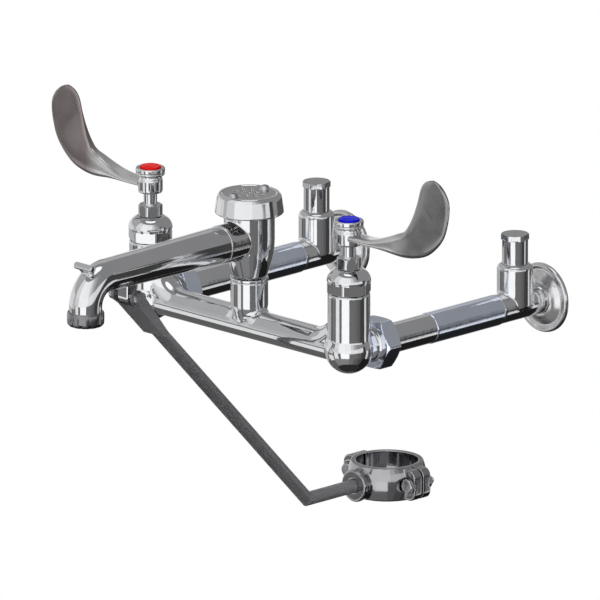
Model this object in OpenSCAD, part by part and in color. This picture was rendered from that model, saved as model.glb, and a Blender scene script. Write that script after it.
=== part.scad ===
// Commercial wall faucet with two wrist-blade valves, a vacuum-breaker spout with a pail hook,
// two supply arms with stops, and a brace rod that ends in a split pipe clamp.
// Millimetres. The origin is on the wall, midway between the inlets. +X is the cold side, +Z is up
// and -Y points from the wall to the user.

/* [Layout] */
// Distance between the hot and the cold inlet
centres = 203.2; // [190:0.1:230]
// Distance from the wall to the valve axes
valve_to_wall = 200; // [195:1:230]
// Clearance of a turning or sliding fit, on the radius
fit = 0.05; // [0.02:0.01:0.08]

/* [Body casting] */
// Diameter of the bar between the valves
bar_d = 22; // [20:0.5:24]
// Diameter of the rounded bottom of each valve column
ball_d = 34.8; // [34:0.2:37]
// Diameter of a valve column
column_d = 31; // [30:0.5:33]
// Top of a valve column above the bar axis
column_top = 43; // [41:0.5:48]
// Diameter of the spout hub in the middle of the bar
hub_d = 27.4; // [27:0.1:29]
// Top of the spout hub above the bar axis
hub_top = 33; // [32:0.5:36]
// Height above the bar axis where the hub starts to taper down to the bar
hub_straight_z = 13.5; // [12:0.5:16]
// Height above the bar axis where the hub's taper ends in the bar
hub_taper_z = 1.5; // [0:0.5:3]
// Inner radius of the sweep from the bar up into a column
column_sweep_r = 26; // [22:1:30]
// Inner radius of the sweep from the bar up into the hub
hub_sweep_r = 8; // [6:0.5:12]
// Diameter of the water way in the bar
bar_bore_d = 12; // [10:0.5:13]
// Diameter of the inlet bore behind each valve
inlet_bore_d = 15; // [12:0.5:16]
// Diameter of the opening under each cartridge
throat_d = 11; // [8:0.5:12]
// Diameter of the bore that holds a cartridge
chamber_d = 24; // [23:0.5:25]
// Floor of that bore above the bar axis
chamber_floor = 8; // [8:0.5:10]
// Length of the rear shank from the valve axis to its face
shank_len = 28; // [26:0.5:32]
// Diameter of the rear shank
shank_d = 22; // [21:0.5:24]
// Diameter of the shank's threaded end
shank_thread_d = 26.8; // [26:0.1:28]
// Length of that threaded end
shank_thread_len = 7.5; // [6:0.5:8]

/* [Valve] */
// Thickness of the seat seal
seal_t = 2; // [1.5:0.1:2.5]
// Diameter of the ceramic discs
disc_d = 18.2; // [17:0.1:19]
// Thickness of each ceramic disc
disc_t = 3; // [2.5:0.1:3.5]
// Thickness of the drive flange on the stem
drive_t = 4; // [3:0.1:5]
// Diameter of the stem
stem_d = 9.8; // [9:0.1:10.4]
// Length of the cartridge housing
cartridge_len = 24; // [22:0.5:25]
// Angle to which the hot bonnet is screwed in
hot_bonnet_spin = 30; // [0:1:60]
// Angle to which the cold bonnet is screwed in
cold_bonnet_spin = 0; // [0:1:60]
// Height of the bonnet's hexagon
bonnet_hex_h = 8.6; // [7:0.1:10]
// Width of the bonnet across its corners
bonnet_w = 33.2; // [32:0.1:35]
// Height of the bonnet's dome
dome_h = 8.9; // [8:0.1:10]
// Radius of the flat on top of the dome
dome_top_r = 9.5; // [9:0.1:10]
// Depth of the packing chamber in the bonnet
packing_depth = 8.5; // [7:0.1:9]
// Diameter of the packing chamber
packing_d = 16; // [14.5:0.1:16.5]
// Width of the packing nut across its corners
packing_nut_w = 18.7; // [18.2:0.1:20]
// Gap between the dome and the packing nut's hexagon
packing_nut_gap = 0.5; // [0.3:0.1:1.5]
// Height of the packing nut's hexagon
packing_nut_h = 8.5; // [7:0.1:10]
// Length of the packing nut's threaded skirt
packing_skirt = 4.5; // [3:0.1:5]

/* [Handle] */
// Height of bare stem that shows under the handle
stem_gap = 9; // [6:0.5:12]
// Diameter of the handle hub
handle_hub_d = 18; // [17.5:0.1:20]
// Height of the handle hub below its collar
handle_hub_h = 13; // [12.5:0.1:15]
// Diameter of the collar on top of the hub
handle_collar_d = 21.4; // [20.6:0.1:23]
// Height of that collar
handle_collar_h = 5.7; // [5:0.1:7]
// Diameter of the coloured index button
button_d = 15.4; // [14:0.1:16.4]
// Height of the button above the collar
button_rise = 1.8; // [1:0.1:3]
// Depth of the button in the collar
button_depth = 3.2; // [2.6:0.1:3.2]
// Rise of the button's crowned top
button_crown = 0.8; // [0.3:0.1:0.9]
// Reach of the blade from the valve axis
blade_reach = 101.6; // [90:0.1:110]
// Width of the blade where it leaves the hub
blade_root_w = 15; // [12:0.5:16]
// Thickness of the upright paddle
paddle_t = 3.2; // [2.6:0.1:4]
// Thread diameter of the handle screw
handle_screw_d = 3.9; // [3:0.1:4.4]
// Length of that thread
handle_screw_len = 9; // [7:0.5:10]
// Diameter of the handle screw's head
handle_screw_head_d = 8; // [6.5:0.1:8.6]
// Height of the handle screw's head
handle_screw_head_h = 3; // [2:0.1:3.4]

/* [Spout] */
// Radius of the spout's outlet from the swivel axis
spout_reach = 166; // [155:1:180]
// Height of the spout tube's axis at the bar axis datum
spout_z = 64.5; // [63:0.5:66]
// Diameter of the socket on the vacuum breaker
socket_d = 28.2; // [27.9:0.1:29.4]
// Length of that socket from the swivel axis
socket_len = 31; // [28:0.5:36]
// Diameter of the spout tube at the socket
tube_root_d = 27.4; // [26:0.1:27.8]
// Diameter of the spout tube at its elbow
tube_tip_d = 23.8; // [22:0.1:24.6]
// Radius of the spout elbow on its centre line
elbow_r = 20; // [19:0.5:26]
// Diameter of the spout water way
spout_bore_d = 16; // [13:0.5:17]
// Diameter of the hose thread on the outlet
outlet_d = 27; // [26:0.1:28]
// Length of the hose thread
outlet_len = 10.3; // [8:0.1:12]
// Length of the straight neck between the elbow and the hose thread
neck_len = 3; // [1:0.1:5]
// Length of the spigot that the spout tube has in the socket
spigot_len = 11; // [8:0.5:13]
// Width of the pail hook's neck at the elbow
hook_neck_w = 10.5; // [9:0.1:12]
// Thickness of that neck
hook_neck_t = 4.6; // [4:0.1:5]
// Diameter of the pail hook's cross bar
hook_bar_d = 5.2; // [5:0.1:6]
// Length of the cross bar
hook_bar_len = 18; // [15:0.5:20]
// Distance from the elbow's centre line to the cross bar
hook_len = 16.4; // [15:0.1:20]
// Angle of the pail hook round the elbow, above level
hook_angle = 55; // [50:1:65]

/* [Vacuum breaker] */
// Diameter of the breaker body
breaker_d = 37; // [36:0.2:40]
// Diameter of its foot
foot_d = 25.4; // [24.5:0.1:26.5]
// Top of the breaker body above the bar axis
breaker_top = 83; // [82:0.5:86]
// Diameter of the float chamber
float_chamber_d = 26; // [25:0.2:27]
// Diameter of the inlet opening under the float
nozzle_d = 14; // [12:0.5:15]
// Floor of the float chamber above the bar axis
float_floor = 54.5; // [53:0.5:56]
// Height of the nozzle ring that the float closes
nozzle_h = 3; // [2:0.1:4]
// Thickness of the seat ring
seat_ring_t = 1.6; // [1.2:0.1:2.2]
// Thickness of the float's flanges
float_flange_t = 3; // [2:0.1:4]
// Diameter of the float's lower flange
float_d = 22; // [20:0.2:23]
// Rise of the float from its seat to the vent
float_travel = 3.7; // [3:0.1:4.5]
// Diameter of the air vent in the vent plate
vent_d = 12; // [10:0.5:14]
// Thickness of the vent plate
vent_plate_t = 2; // [1.5:0.1:3]
// Diameter of the cap at its rim
cap_d = 50.2; // [49:0.2:54]
// Diameter of the cap's top
cap_top_d = 45.8; // [44.5:0.2:48]
// Height of the cap
cap_h = 15; // [13:0.5:18]
// Wall of the cap
cap_wall = 2; // [1.6:0.1:2.5]
// Depth of the recess in the cap's top
cap_recess = 0.6; // [0.3:0.1:1]
// Diameter of the weep hole under the cap
weep_hole_d = 2; // [1:0.1:2.4]
// Angle of the weep hole from the spout
weep_hole_angle = 21; // [15:1:60]
// Diameter of the small air holes in the cap
air_hole_d = 2.6; // [1.8:0.1:3]
// Diameter of a cap screw
cap_screw_d = 3; // [2.5:0.1:3.2]
// Diameter of a cap screw's head
cap_screw_head_d = 7; // [6:0.1:8]
// Rise of a cap screw's head above the recess
cap_screw_head_h = 2.6; // [2:0.1:3.2]
// Length of a cap screw under its head
cap_screw_len = 24; // [20:0.5:26]
// Height of the shank collar
collar_h = 2; // [1.5:0.1:2.6]
// Diameter of the shank that turns in the hub
tail_d = 17; // [16:0.1:18]
// Depth of that shank in the hub
tail_depth = 26; // [22:0.5:28]
// Thickness of the ring that holds the shank down
tail_ring_t = 3; // [2:0.1:4]
// Diameter of the threaded recess in the hub's mouth
hub_recess_d = 23; // [22:0.1:24]
// Depth of that recess
hub_recess_depth = 12.5; // [11:0.5:14]
// Section height of a shank ring's groove
ring_groove = 2; // [1.4:0.1:2.4]

/* [Supply arms] */
// Start of the coupling nut behind the valve axis
nut_start = 21; // [20.7:0.1:22]
// Length of the coupling nut
nut_len = 14; // [13:0.5:16]
// Width of the coupling nut across its corners
nut_w = 40.4; // [38:0.1:43]
// Thickness of the coupling washer
washer_t = 2; // [1:0.1:2.4]
// Thickness of the collar on the supply tube
collar_t = 2.4; // [2:0.1:3]
// Diameter of the supply tube
arm_d = 22; // [21:0.1:22.6]
// End of the bare supply tube behind the valve axis
arm_end = 80; // [70:1:90]
// Diameter of the sleeve
sleeve_d = 23; // [22.8:0.1:24]
// Diameter of the spigots inside the sleeve
spigot_d = 19.2; // [18:0.1:19.6]
// Length of each spigot inside the sleeve
arm_spigot_len = 28; // [20:1:32]
// Diameter of the water way in the arm
arm_bore_d = 13; // [11:0.5:14]
// Length of the stop body from the wall to the sleeve
stop_len = 50; // [45:1:56]
// Distance from the wall to the stop's axis
stop_to_wall = 29.5; // [28:0.5:31]
// Diameter of the stop's upright boss
boss_d = 26.4; // [25.6:0.1:28]
// Top of the boss above the arm's axis
boss_top = 31.5; // [31:0.5:34]
// Diameter of the bore in the boss
boss_bore_d = 18; // [17:0.1:19]
// Height of the stop's seat above the arm's axis
seat_z = 3; // [2.5:0.1:3.5]
// Diameter of the opening in the seat
seat_d = 10; // [8:0.5:11]
// Diameter of the cap over the stop
stop_cap_d = 19; // [18:0.1:20]
// Height of that cap
stop_cap_h = 22; // [20:0.5:25]
// Width across the corners of the hexagon on that cap
stop_hex_w = 21.2; // [20.4:0.1:22]
// Height of that hexagon
stop_hex_h = 4; // [3:0.1:5]
// Turn of that hexagon
stop_hex_turn = 45; // [0:1:60]
// Wall of the cap over the stop
stop_cap_wall = 2.3; // [1.8:0.1:2.6]
// Diameter of the stop's spindle
spindle_d = 6; // [5:0.1:7]
// Travel of the stop's plunger
plunger_travel = 5; // [4:0.1:5.5]
// Diameter of the stop's plunger
plunger_d = 15; // [14:0.1:16]
// Depth of the gland in the boss
gland_depth = 7.5; // [6:0.1:8]
// Height of the gland's neck inside the cap
gland_neck_h = 5.5; // [4:0.1:7]
// Diameter of the wall flange
flange_d = 51.6; // [48:0.1:60]
// Depth of the wall flange from the wall
flange_t = 6; // [5:0.1:8]
// Thickness of the wall flange's sheet
flange_sheet = 1.8; // [1.4:0.1:2.2]
// Width of the wall flange's raised rim
flange_rim_w = 4.2; // [3.6:0.1:6]
// Drop from the middle of the wall flange to its rim
flange_rim_drop = 2.6; // [2:0.1:3]
// Width of the groove inside that rim
flange_groove_w = 1.6; // [1:0.1:2.4]
// Depth of that groove below the rim
flange_groove_depth = 1.2; // [0.6:0.1:1.6]
// Diameter of the threaded inlet behind the wall
inlet_d = 21.3; // [20:0.1:21.6]
// Length of the threaded inlet behind the wall
inlet_len = 14; // [12:0.5:20]

/* [Brace] */
// Distance from the swivel axis to the brace pivot
lug_y = 124; // [118:1:128]
// Drop of the brace pivot below the spout tube's axis
lug_drop = 19.5; // [19:0.1:22]
// Width of the lug
lug_w = 10; // [8:0.1:12]
// Radius of the lug's round end
lug_r = 5; // [4.5:0.1:5.4]
// Diameter of the pivot pin
pin_d = 5; // [4:0.1:5.4]
// Diameter of the pin's round heads
pin_head_d = 10; // [8:0.1:11]
// Thickness of the pin's round heads
pin_head_t = 3; // [2:0.1:3.5]
// Width of the strap
strap_w = 22; // [20.8:0.2:24]
// Radius of the strap's round end
strap_end_r = 5.6; // [5.2:0.1:6]
// Thickness of the strap's sheet
strap_t = 2.5; // [2:0.1:2.8]
// Depth of the strap's sides at its lower end
strap_side = 5; // [3.5:0.1:7]
// Length of the strap below the pivot
strap_len = 44; // [38:1:50]
// Diameter of the brace rod
rod_d = 10; // [9.6:0.1:10.3]
// Distance from the rod's axis to the flat that the strap lies on
rod_flat = 2; // [1:0.1:3]
// Angle of the brace rod below level
rod_angle = 46; // [42:0.5:50]
// Length of the slanted rod from the pivot to its bend
rod_len = 263.4; // [250:0.5:290]
// Length of the level rod from its bend
rod_foot = 53; // [48:0.5:60]

/* [Pipe clamp] */
// Diameter of the pipe that the clamp holds
pipe_d = 45.6; // [44:0.1:48.4]
// Wall of the clamp ring at its edges
clamp_wall = 3.6; // [2.8:0.1:4]
// Extra wall of the clamp ring in its middle
clamp_crown = 2.4; // [1:0.1:2.8]
// Height of the clamp ring
clamp_h = 25; // [23:0.5:29]
// Height of the ring's middle above the rod's axis
clamp_lift = 1; // [0:0.1:1.4]
// Gap between the two jaws
jaw_gap = 1.5; // [1:0.1:3]
// Height of the ears
ear_h = 23; // [20:0.2:24]
// Radius of the ears' outer corners
ear_corner = 6; // [4:0.2:8]
// Distance from the ring's bore to a clamp screw
ear_offset = 7.9; // [7.4:0.1:9]
// Distance from a clamp screw to the outer edge of its ear
ear_edge = 5.9; // [5.5:0.1:8]
// Thickness of each ear
ear_t = 7.5; // [6:0.1:9]
// Diameter of a clamp screw
clamp_screw_d = 6; // [5:0.1:7]
// Width of a clamp screw's head and nut across corners
clamp_hex_w = 11.5; // [10:0.1:12.5]
// Thickness of a clamp screw's head and nut
clamp_hex_t = 3.6; // [3:0.1:4.5]
// Depth of the spot faces under the heads and nuts
spot_depth = 0.5; // [0.3:0.1:1]
// Room round the heads and nuts on their spot faces
spot_room = 0.6; // [0.4:0.1:0.8]
// Diameter of the boss that takes the rod
rod_boss_d = 24; // [21:0.1:25]
// Distance from the boss face to the ring's centre line
rod_boss_len = 35; // [34.5:0.5:40]
// Travel of the clamp along the rod, each way
clamp_travel = 5; // [3:0.5:5.5]
// Travel of the rear jaw along the clamp screws
jaw_travel = 4; // [2:0.5:6]
// Diameter of the set screw in the boss
set_screw_d = 5; // [4:0.1:6]

/* [Hidden] */
$fn = 72;
HOT = -1;
COLD = 1;
chrome = [0.80, 0.81, 0.83];
steel_blue = [0.62, 0.65, 0.72];
dark_steel = [0.34, 0.34, 0.36];
brass = [0.80, 0.66, 0.35];
rubber = [0.12, 0.12, 0.13];
ceramic = [0.88, 0.87, 0.83];
over = 1;
end_play = 0.3;

// The bends are a little thinner than the bar, so that they leave it at an edge
bend_d = bar_d - 0.6;

bonnet_top = column_top + bonnet_hex_h + dome_h;
packing_nut_top = bonnet_top + packing_nut_gap + packing_nut_h;
hub_z = packing_nut_top + stem_gap;
handle_collar_z = hub_z + handle_hub_h;
handle_top = handle_collar_z + handle_collar_h;
disc_z = chamber_floor + seal_t;
drive_z = disc_z + 2 * disc_t;
cartridge_top = disc_z + cartridge_len;
stem_end = handle_collar_z - 2;
screw_seat = stem_end + 0.5;
button_z = handle_top - button_depth;

foot_z = hub_top + collar_h + 1;
nozzle_top = float_floor + nozzle_h;
float_z = nozzle_top + seat_ring_t + 0.1;
float_top = breaker_top - 0.3 - float_travel;
cap_z = breaker_top;
cap_top = cap_z + cap_h;
cap_face_z = cap_top - cap_recess;
cap_screw_r = (float_chamber_d + breaker_d) / 4;
cap_recess_r = cap_screw_r + cap_screw_head_d / 2 + 0.2;
cap_rim_w = cap_top_d / 2 - cap_recess_r;
cap_screw_bottom = cap_face_z - cap_screw_len - 0.5;
screw_post_d = cap_screw_d + 3.4;
shank_ring_z = [hub_top - tail_depth + 3, hub_top - tail_depth + 8];
ring_groove_d = tail_d - 1.5 * ring_groove;
tube_spigot_d = spout_bore_d + 6;

tube_start = socket_len;
tube_end = spout_reach - elbow_r;
neck_z = spout_z - elbow_r;
outlet_z = neck_z - neck_len - outlet_len;

washer_y = shank_len;
collar_y = washer_y + washer_t;
stop_start = valve_to_wall - stop_len;
stop_y = valve_to_wall - stop_to_wall;
cap_seat_z = boss_top;
gland_z = boss_top - gland_depth;
plunger_z = seat_z + 0.3 + plunger_travel;
plunger_top = gland_z - 0.5;
spindle_z = plunger_z + 4;
spindle_head_z = boss_top + gland_neck_h + 0.2;

lug_z = spout_z - lug_drop;
bend_y = -lug_y + rod_len * cos(rod_angle);
bend_z = lug_z - rod_len * sin(rod_angle);
ring_y = bend_y + rod_foot + pipe_d / 2 + clamp_travel + 1.6;
ring_r = pipe_d / 2;
ring_edge_r = ring_r + clamp_wall;
crown_r = (pow(clamp_h / 2, 2) + pow(clamp_crown, 2)) / (2 * clamp_crown);
ear_x = ring_r + ear_offset;
boss_neck_r = rod_boss_d / 2 - 0.6;
set_screw_y = -rod_boss_len + 4.1;
seat_y = jaw_gap / 2 + ear_t - spot_depth;
clamp_screw_len = 2 * seat_y + clamp_hex_t + jaw_travel;
strap_gap = lug_r + 1.5;
rod_gap = lug_r + 3;
strap_face = rod_flat + strap_t;

// Placing: the valve frame has its origin on the bar axis, midway between the valves

module in_valve_frame() translate([0, -valve_to_wall, 0]) children();

module at_valve(side) in_valve_frame() translate([side * centres / 2, 0, 0]) children();

module along_y(y) translate([0, y, 0]) rotate([-90, 0, 0]) children();

// Turns a shape that comes from the -X side, so that it comes from the middle of the bar
module towards_middle(side) rotate([0, 0, side == HOT ? 180 : 0]) children();

// Shapes that repeat

module ring(d_out, d_in, h) difference() {
    cylinder(d = d_out, h = h);
    translate([0, 0, -over]) cylinder(d = d_in, h = h + 2 * over);
}

// Slot across the top of a screw's head, whose top is at the origin
module screw_slot(head_d) translate([-head_d, -head_d / 14, -head_d / 8])
    cube([2 * head_d, head_d / 7, head_d / 4]);

// Hexagonal prism whose corners are rounded off by a chamfered turning
module hexagon(w, h, chamfer) intersection() {
    cylinder(d = w, h = h, $fn = 6);
    rotate_extrude() polygon([
        [0, 0], [w / 2 - chamfer, 0], [w / 2, chamfer * 0.6],
        [w / 2, h - chamfer * 0.6], [w / 2 - chamfer, h], [0, h]
    ]);
}

// Round bend from the bar on the -X side up into a column that stands on the origin
module bend(inner_r, d, sweep = 90) {
    mid_r = inner_r + bar_d / 2;
    translate([-mid_r, 0, mid_r]) rotate([90, 0, 0]) rotate([0, 0, -90])
        rotate_extrude(angle = sweep) translate([mid_r, 0]) circle(d = d);
}

// Web that fills the corner between the bar, the column and the bend
module bend_web(inner_r) {
    mid_r = inner_r + bar_d / 2;
    web_t = bend_d - 1;
    translate([-mid_r, web_t / 2, 0]) rotate([90, 0, 0]) linear_extrude(web_t) difference() {
        square(mid_r);
        translate([0, mid_r]) circle(r = mid_r);
    }
}

// Body casting

module column_solid(side) {
    sphere(d = ball_d);
    cylinder(d = column_d, h = column_top);
    towards_middle(side) {
        bend(column_sweep_r, bend_d);
        bend_web(column_sweep_r);
    }
    along_y(0) cylinder(d = shank_d, h = shank_len - shank_thread_len + over);
    along_y(shank_len - shank_thread_len) cylinder(d = shank_thread_d, h = shank_thread_len);
}

module column_bores(side) {
    translate([0, 0, chamber_floor]) cylinder(d = chamber_d, h = column_top);
    cylinder(d = throat_d, h = chamber_floor + over);
    along_y(-throat_d / 2 - over) cylinder(d = inlet_bore_d, h = shank_len + throat_d);
    towards_middle(side) bend(column_sweep_r, bar_bore_d, 45);
}

module hub_solid() {
    translate([0, 0, hub_straight_z]) cylinder(d = hub_d, h = hub_top - hub_straight_z);
    translate([0, 0, hub_taper_z]) cylinder(d1 = bar_d - 1, d2 = hub_d, h = hub_straight_z - hub_taper_z);
    for (turn = [0, 180]) rotate([0, 0, turn]) {
        bend(hub_sweep_r, bend_d);
        bend_web(hub_sweep_r);
    }
}

module hub_bores() {
    translate([0, 0, hub_top - hub_recess_depth]) cylinder(d = hub_recess_d, h = hub_recess_depth + over);
    translate([0, 0, hub_top - tail_depth - 1]) cylinder(d = tail_d + 2 * fit, h = tail_depth);
    cylinder(d = bar_bore_d, h = hub_top - tail_depth);
}

module faucet_body() color(chrome) in_valve_frame() difference() {
    union() {
        translate([-centres / 2, 0, 0]) rotate([0, 90, 0]) cylinder(d = bar_d, h = centres);
        for (side = [HOT, COLD]) translate([side * centres / 2, 0, 0]) column_solid(side);
        hub_solid();
    }
    bar_bore_len = centres - 2 * (column_sweep_r + bar_d / 2);
    translate([-bar_bore_len / 2, 0, 0]) rotate([0, 90, 0]) cylinder(d = bar_bore_d, h = bar_bore_len);
    for (side = [HOT, COLD]) translate([side * centres / 2, 0, 0]) column_bores(side);
    hub_bores();
}

// Valves

// The hexagon is turned by an angle of its own on each side, as the bonnet is screwed in
module bonnet(spin) {
    dome_r = (pow(bonnet_w / 2 - dome_top_r, 2) + pow(dome_h, 2)) / (2 * (bonnet_w / 2 - dome_top_r));
    hex_top = column_top + bonnet_hex_h;
    color(chrome) difference() {
        union() {
            core_d = packing_d + 6;
            translate([0, 0, cartridge_top])
                cylinder(d = chamber_d - 2 * fit, h = column_top - cartridge_top + over);
            translate([0, 0, column_top]) rotate([0, 0, spin]) cylinder(d = bonnet_w, h = bonnet_hex_h, $fn = 6);
            translate([0, 0, column_top]) cylinder(d = core_d, h = bonnet_hex_h + dome_h / 2);
            translate([0, 0, hex_top]) rotate_extrude() intersection() {
                square([bonnet_w / 2, dome_h]);
                union() {
                    translate([bonnet_w / 2 - dome_r, 0]) circle(r = dome_r);
                    square([bonnet_w / 2 - dome_r, dome_h]);
                }
            }
        }
        translate([0, 0, cartridge_top - over]) cylinder(d = stem_d + 2 * fit, h = bonnet_top);
        translate([0, 0, bonnet_top - packing_depth]) cylinder(d = packing_d, h = packing_depth + over);
    }
}

module packing_nut() color(chrome) difference() {
    union() {
        translate([0, 0, bonnet_top + packing_nut_gap]) hexagon(packing_nut_w, packing_nut_h, 0.9);
        translate([0, 0, bonnet_top - packing_skirt])
            cylinder(d = packing_d - 2 * fit, h = packing_skirt + packing_nut_gap + over);
    }
    translate([0, 0, bonnet_top - packing_skirt - over]) cylinder(d = stem_d + 2 * fit, h = packing_nut_h * 3);
}

module stem_packing() color(rubber) translate([0, 0, bonnet_top - packing_depth])
    ring(packing_d - 2 * fit, stem_d + 2 * fit, packing_depth - packing_skirt);

module cartridge() color(brass) translate([0, 0, disc_z]) difference() {
    cylinder(d = chamber_d - 2 * fit, h = cartridge_len);
    translate([0, 0, -over]) cylinder(d = stem_d + 2 * fit, h = cartridge_len + 2 * over);
    translate([0, 0, -over]) cylinder(d = disc_d + 2 * fit, h = 2 * disc_t + drive_t + end_play + over);
    for (turn = [0, 180]) rotate([0, 0, turn]) translate([0, 0, 2 * disc_t])
        rotate([0, 90, 0]) cylinder(d = 2 * disc_t, h = chamber_d);
}

module ported_disc() difference() {
    cylinder(d = disc_d, h = disc_t);
    for (turn = [0, 180]) rotate([0, 0, turn]) translate([disc_d / 4, 0, -over])
        cylinder(d = disc_d / 4, h = disc_t + 2 * over);
}

module seat_seal() color(rubber) translate([0, 0, chamber_floor]) ring(chamber_d - 1, throat_d, seal_t);

module fixed_disc() color(ceramic) translate([0, 0, disc_z]) ported_disc();

module moving_disc() color(ceramic) translate([0, 0, disc_z + disc_t]) ported_disc();

module stem() color(brass) difference() {
    union() {
        translate([0, 0, drive_z]) cylinder(d = disc_d, h = drive_t);
        translate([0, 0, drive_z]) cylinder(d = stem_d, h = stem_end - drive_z);
    }
    translate([0, 0, stem_end - handle_screw_len - 1])
        cylinder(d = handle_screw_d + 2 * fit, h = handle_screw_len + 1 + over);
}

// Handles: the blade is a loft through stations, each a lower and an upper edge point and a width

blade_scale = blade_reach / 101.6;
blade_stations = [
    [[6, 4], [6, 9], 1], [[20, 4], [20, 9], 1], [[31, 3.8], [30, 10.6], 0.9],
    [[40, 3.2], [40, 14], 0.78], [[49, 2.2], [49.6, 18], 0.66], [[58, 1.8], [58, 21.7], 0.5],
    [[68, 3.1], [62.5, 27.5], 0.36], [[79, 6.8], [66, 34.5], 0.24], [[89, 14.4], [68.6, 41.5], 0.1],
    [[96.2, 23.5], [70.8, 48.5], 0], [[99.8, 33.7], [72.4, 54.2], 0], [[101.5, 43.5], [74.3, 58.2], 0],
    [[100.8, 51], [77, 61.2], 0], [[97.4, 57], [80.6, 63.2], 0], [[93.4, 60.6], [84.6, 64.2], 0]
];
blade_sides = 20;
blade_steps = 3;

function spline(a, b, c, d, t) = 0.5 * (2 * b + (c - a) * t + (2 * a - 5 * b + 4 * c - d) * t * t
    + (3 * b - a - 3 * c + d) * t * t * t);

function station(k) = blade_stations[min(max(k, 0), len(blade_stations) - 1)];

function between(k, part, t) = spline(station(k - 1)[part], station(k)[part],
    station(k + 1)[part], station(k + 2)[part], t);

function blade_section(k, t) =
    let (
        low = between(k, 0, t) * blade_scale,
        high = between(k, 1, t) * blade_scale,
        wide = paddle_t + (blade_root_w - paddle_t) * max(between(k, 2, t), 0),
        mid = (low + high) / 2,
        half = (high - low) / 2
    )
    [for (i = [0:blade_sides - 1])
        let (
            a = 360 * i / blade_sides,
            u = sign(sin(a)) * pow(abs(sin(a)), 0.55),
            v = sign(cos(a)) * pow(abs(cos(a)), 0.55)
        )
        [mid[0] + half[0] * u, wide / 2 * v, mid[1] + half[1] * u]];

blade_rings = [
    for (k = [0:len(blade_stations) - 2]) for (s = [0:blade_steps - 1]) blade_section(k, s / blade_steps),
    blade_section(len(blade_stations) - 2, 1)
];

module blade() {
    n = blade_sides;
    last = len(blade_rings) - 1;
    points = [for (section = blade_rings) each section];
    walls = [for (r = [0:last - 1]) for (i = [0:n - 1]) each
        [[r * n + i, (r + 1) * n + i, r * n + (i + 1) % n],
         [r * n + (i + 1) % n, (r + 1) * n + i, (r + 1) * n + (i + 1) % n]]];
    ends = [[for (i = [0:n - 1]) i], [for (i = [n - 1:-1:0]) last * n + i]];
    polyhedron(points = points, faces = concat(walls, ends), convexity = 6);
}

module handle(side) color(chrome) difference() {
    union() {
        translate([0, 0, hub_z]) cylinder(d = handle_hub_d, h = handle_hub_h + over);
        translate([0, 0, handle_collar_z]) cylinder(d = handle_collar_d, h = handle_collar_h);
        translate([0, 0, hub_z]) rotate([0, 0, side == HOT ? 180 : 0]) blade();
    }
    translate([0, 0, hub_z - over]) cylinder(d = stem_d + 2 * fit, h = stem_end - hub_z + over);
    translate([0, 0, stem_end - over]) cylinder(d = handle_screw_d + 0.5, h = handle_top);
    translate([0, 0, screw_seat]) cylinder(d = handle_screw_head_d + 0.4, h = handle_top);
    translate([0, 0, button_z]) cylinder(d = button_d + 2 * fit, h = handle_top);
}

module handle_screw() color(brass) difference() {
    union() {
        translate([0, 0, stem_end - handle_screw_len])
            cylinder(d = handle_screw_d, h = screw_seat - stem_end + handle_screw_len + over);
        translate([0, 0, screw_seat]) cylinder(d = handle_screw_head_d, h = handle_screw_head_h);
    }
    translate([0, 0, screw_seat + handle_screw_head_h]) screw_slot(handle_screw_head_d);
}

module index_button(tint) {
    top_r = (pow(button_d / 2, 2) + pow(button_crown, 2)) / (2 * button_crown);
    top_z = handle_top + button_rise;
    color(tint) intersection() {
        translate([0, 0, button_z]) cylinder(d = button_d, h = top_z - button_z + over);
        translate([0, 0, top_z - top_r]) sphere(r = top_r, $fn = 120);
    }
}

// Supply arms

module coupling_nut() color(steel_blue) difference() {
    along_y(nut_start) hexagon(nut_w, nut_len, 1.6);
    along_y(nut_start - over)
        cylinder(d = shank_thread_d + 2 * fit, h = collar_y + collar_t - nut_start + over);
    along_y(nut_start) cylinder(d = arm_d + 2 * fit, h = nut_len + over);
}

module coupling_washer() color(rubber) along_y(washer_y) ring(shank_thread_d - 1, inlet_bore_d, washer_t);

module supply_tube() color(chrome) difference() {
    union() {
        along_y(collar_y) cylinder(d = shank_thread_d, h = collar_t);
        along_y(collar_y) cylinder(d = arm_d, h = arm_end - collar_y);
        along_y(arm_end - over) cylinder(d = spigot_d, h = arm_spigot_len + over);
    }
    along_y(collar_y - over) cylinder(d = arm_bore_d, h = arm_end + arm_spigot_len);
}

module supply_sleeve() color(steel_blue) along_y(arm_end)
    ring(sleeve_d, spigot_d + 2 * fit, stop_start - arm_end);

module stop_body() color(chrome) difference() {
    union() {
        along_y(stop_start - arm_spigot_len) cylinder(d = spigot_d, h = arm_spigot_len + over);
        along_y(stop_start) cylinder(d = arm_d, h = stop_len);
        along_y(valve_to_wall - over) cylinder(d = inlet_d, h = inlet_len + over);
        translate([0, stop_y, 0]) rotate_extrude() polygon([
            [0, 0], [boss_d / 2, 0], [boss_d / 2, boss_top - 2.5], [boss_d / 2 - 1, boss_top - 1],
            [stop_cap_d / 2 + 0.8, boss_top], [0, boss_top]
        ]);
    }
    along_y(stop_start - arm_spigot_len - over)
        cylinder(d = arm_bore_d, h = arm_spigot_len + over + stop_len - stop_to_wall - seat_d / 2 - 1);
    translate([0, 0, -3]) along_y(stop_y) cylinder(d = seat_d, h = stop_to_wall + inlet_len + over);
    translate([0, stop_y, -3]) cylinder(d = seat_d, h = seat_z + 3 + over);
    translate([0, stop_y, seat_z]) cylinder(d = boss_bore_d, h = boss_top);
}

module stop_gland() color(brass) translate([0, stop_y, 0]) difference() {
    union() {
        translate([0, 0, gland_z]) cylinder(d = boss_bore_d - 2 * fit, h = gland_depth);
        translate([0, 0, boss_top - over])
            cylinder(d = stop_cap_d - 2 * stop_cap_wall - 2 * fit, h = gland_neck_h + over);
    }
    translate([0, 0, gland_z - over])
        cylinder(d = spindle_d + 2 * fit, h = gland_depth + gland_neck_h + 2 * over);
}

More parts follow.
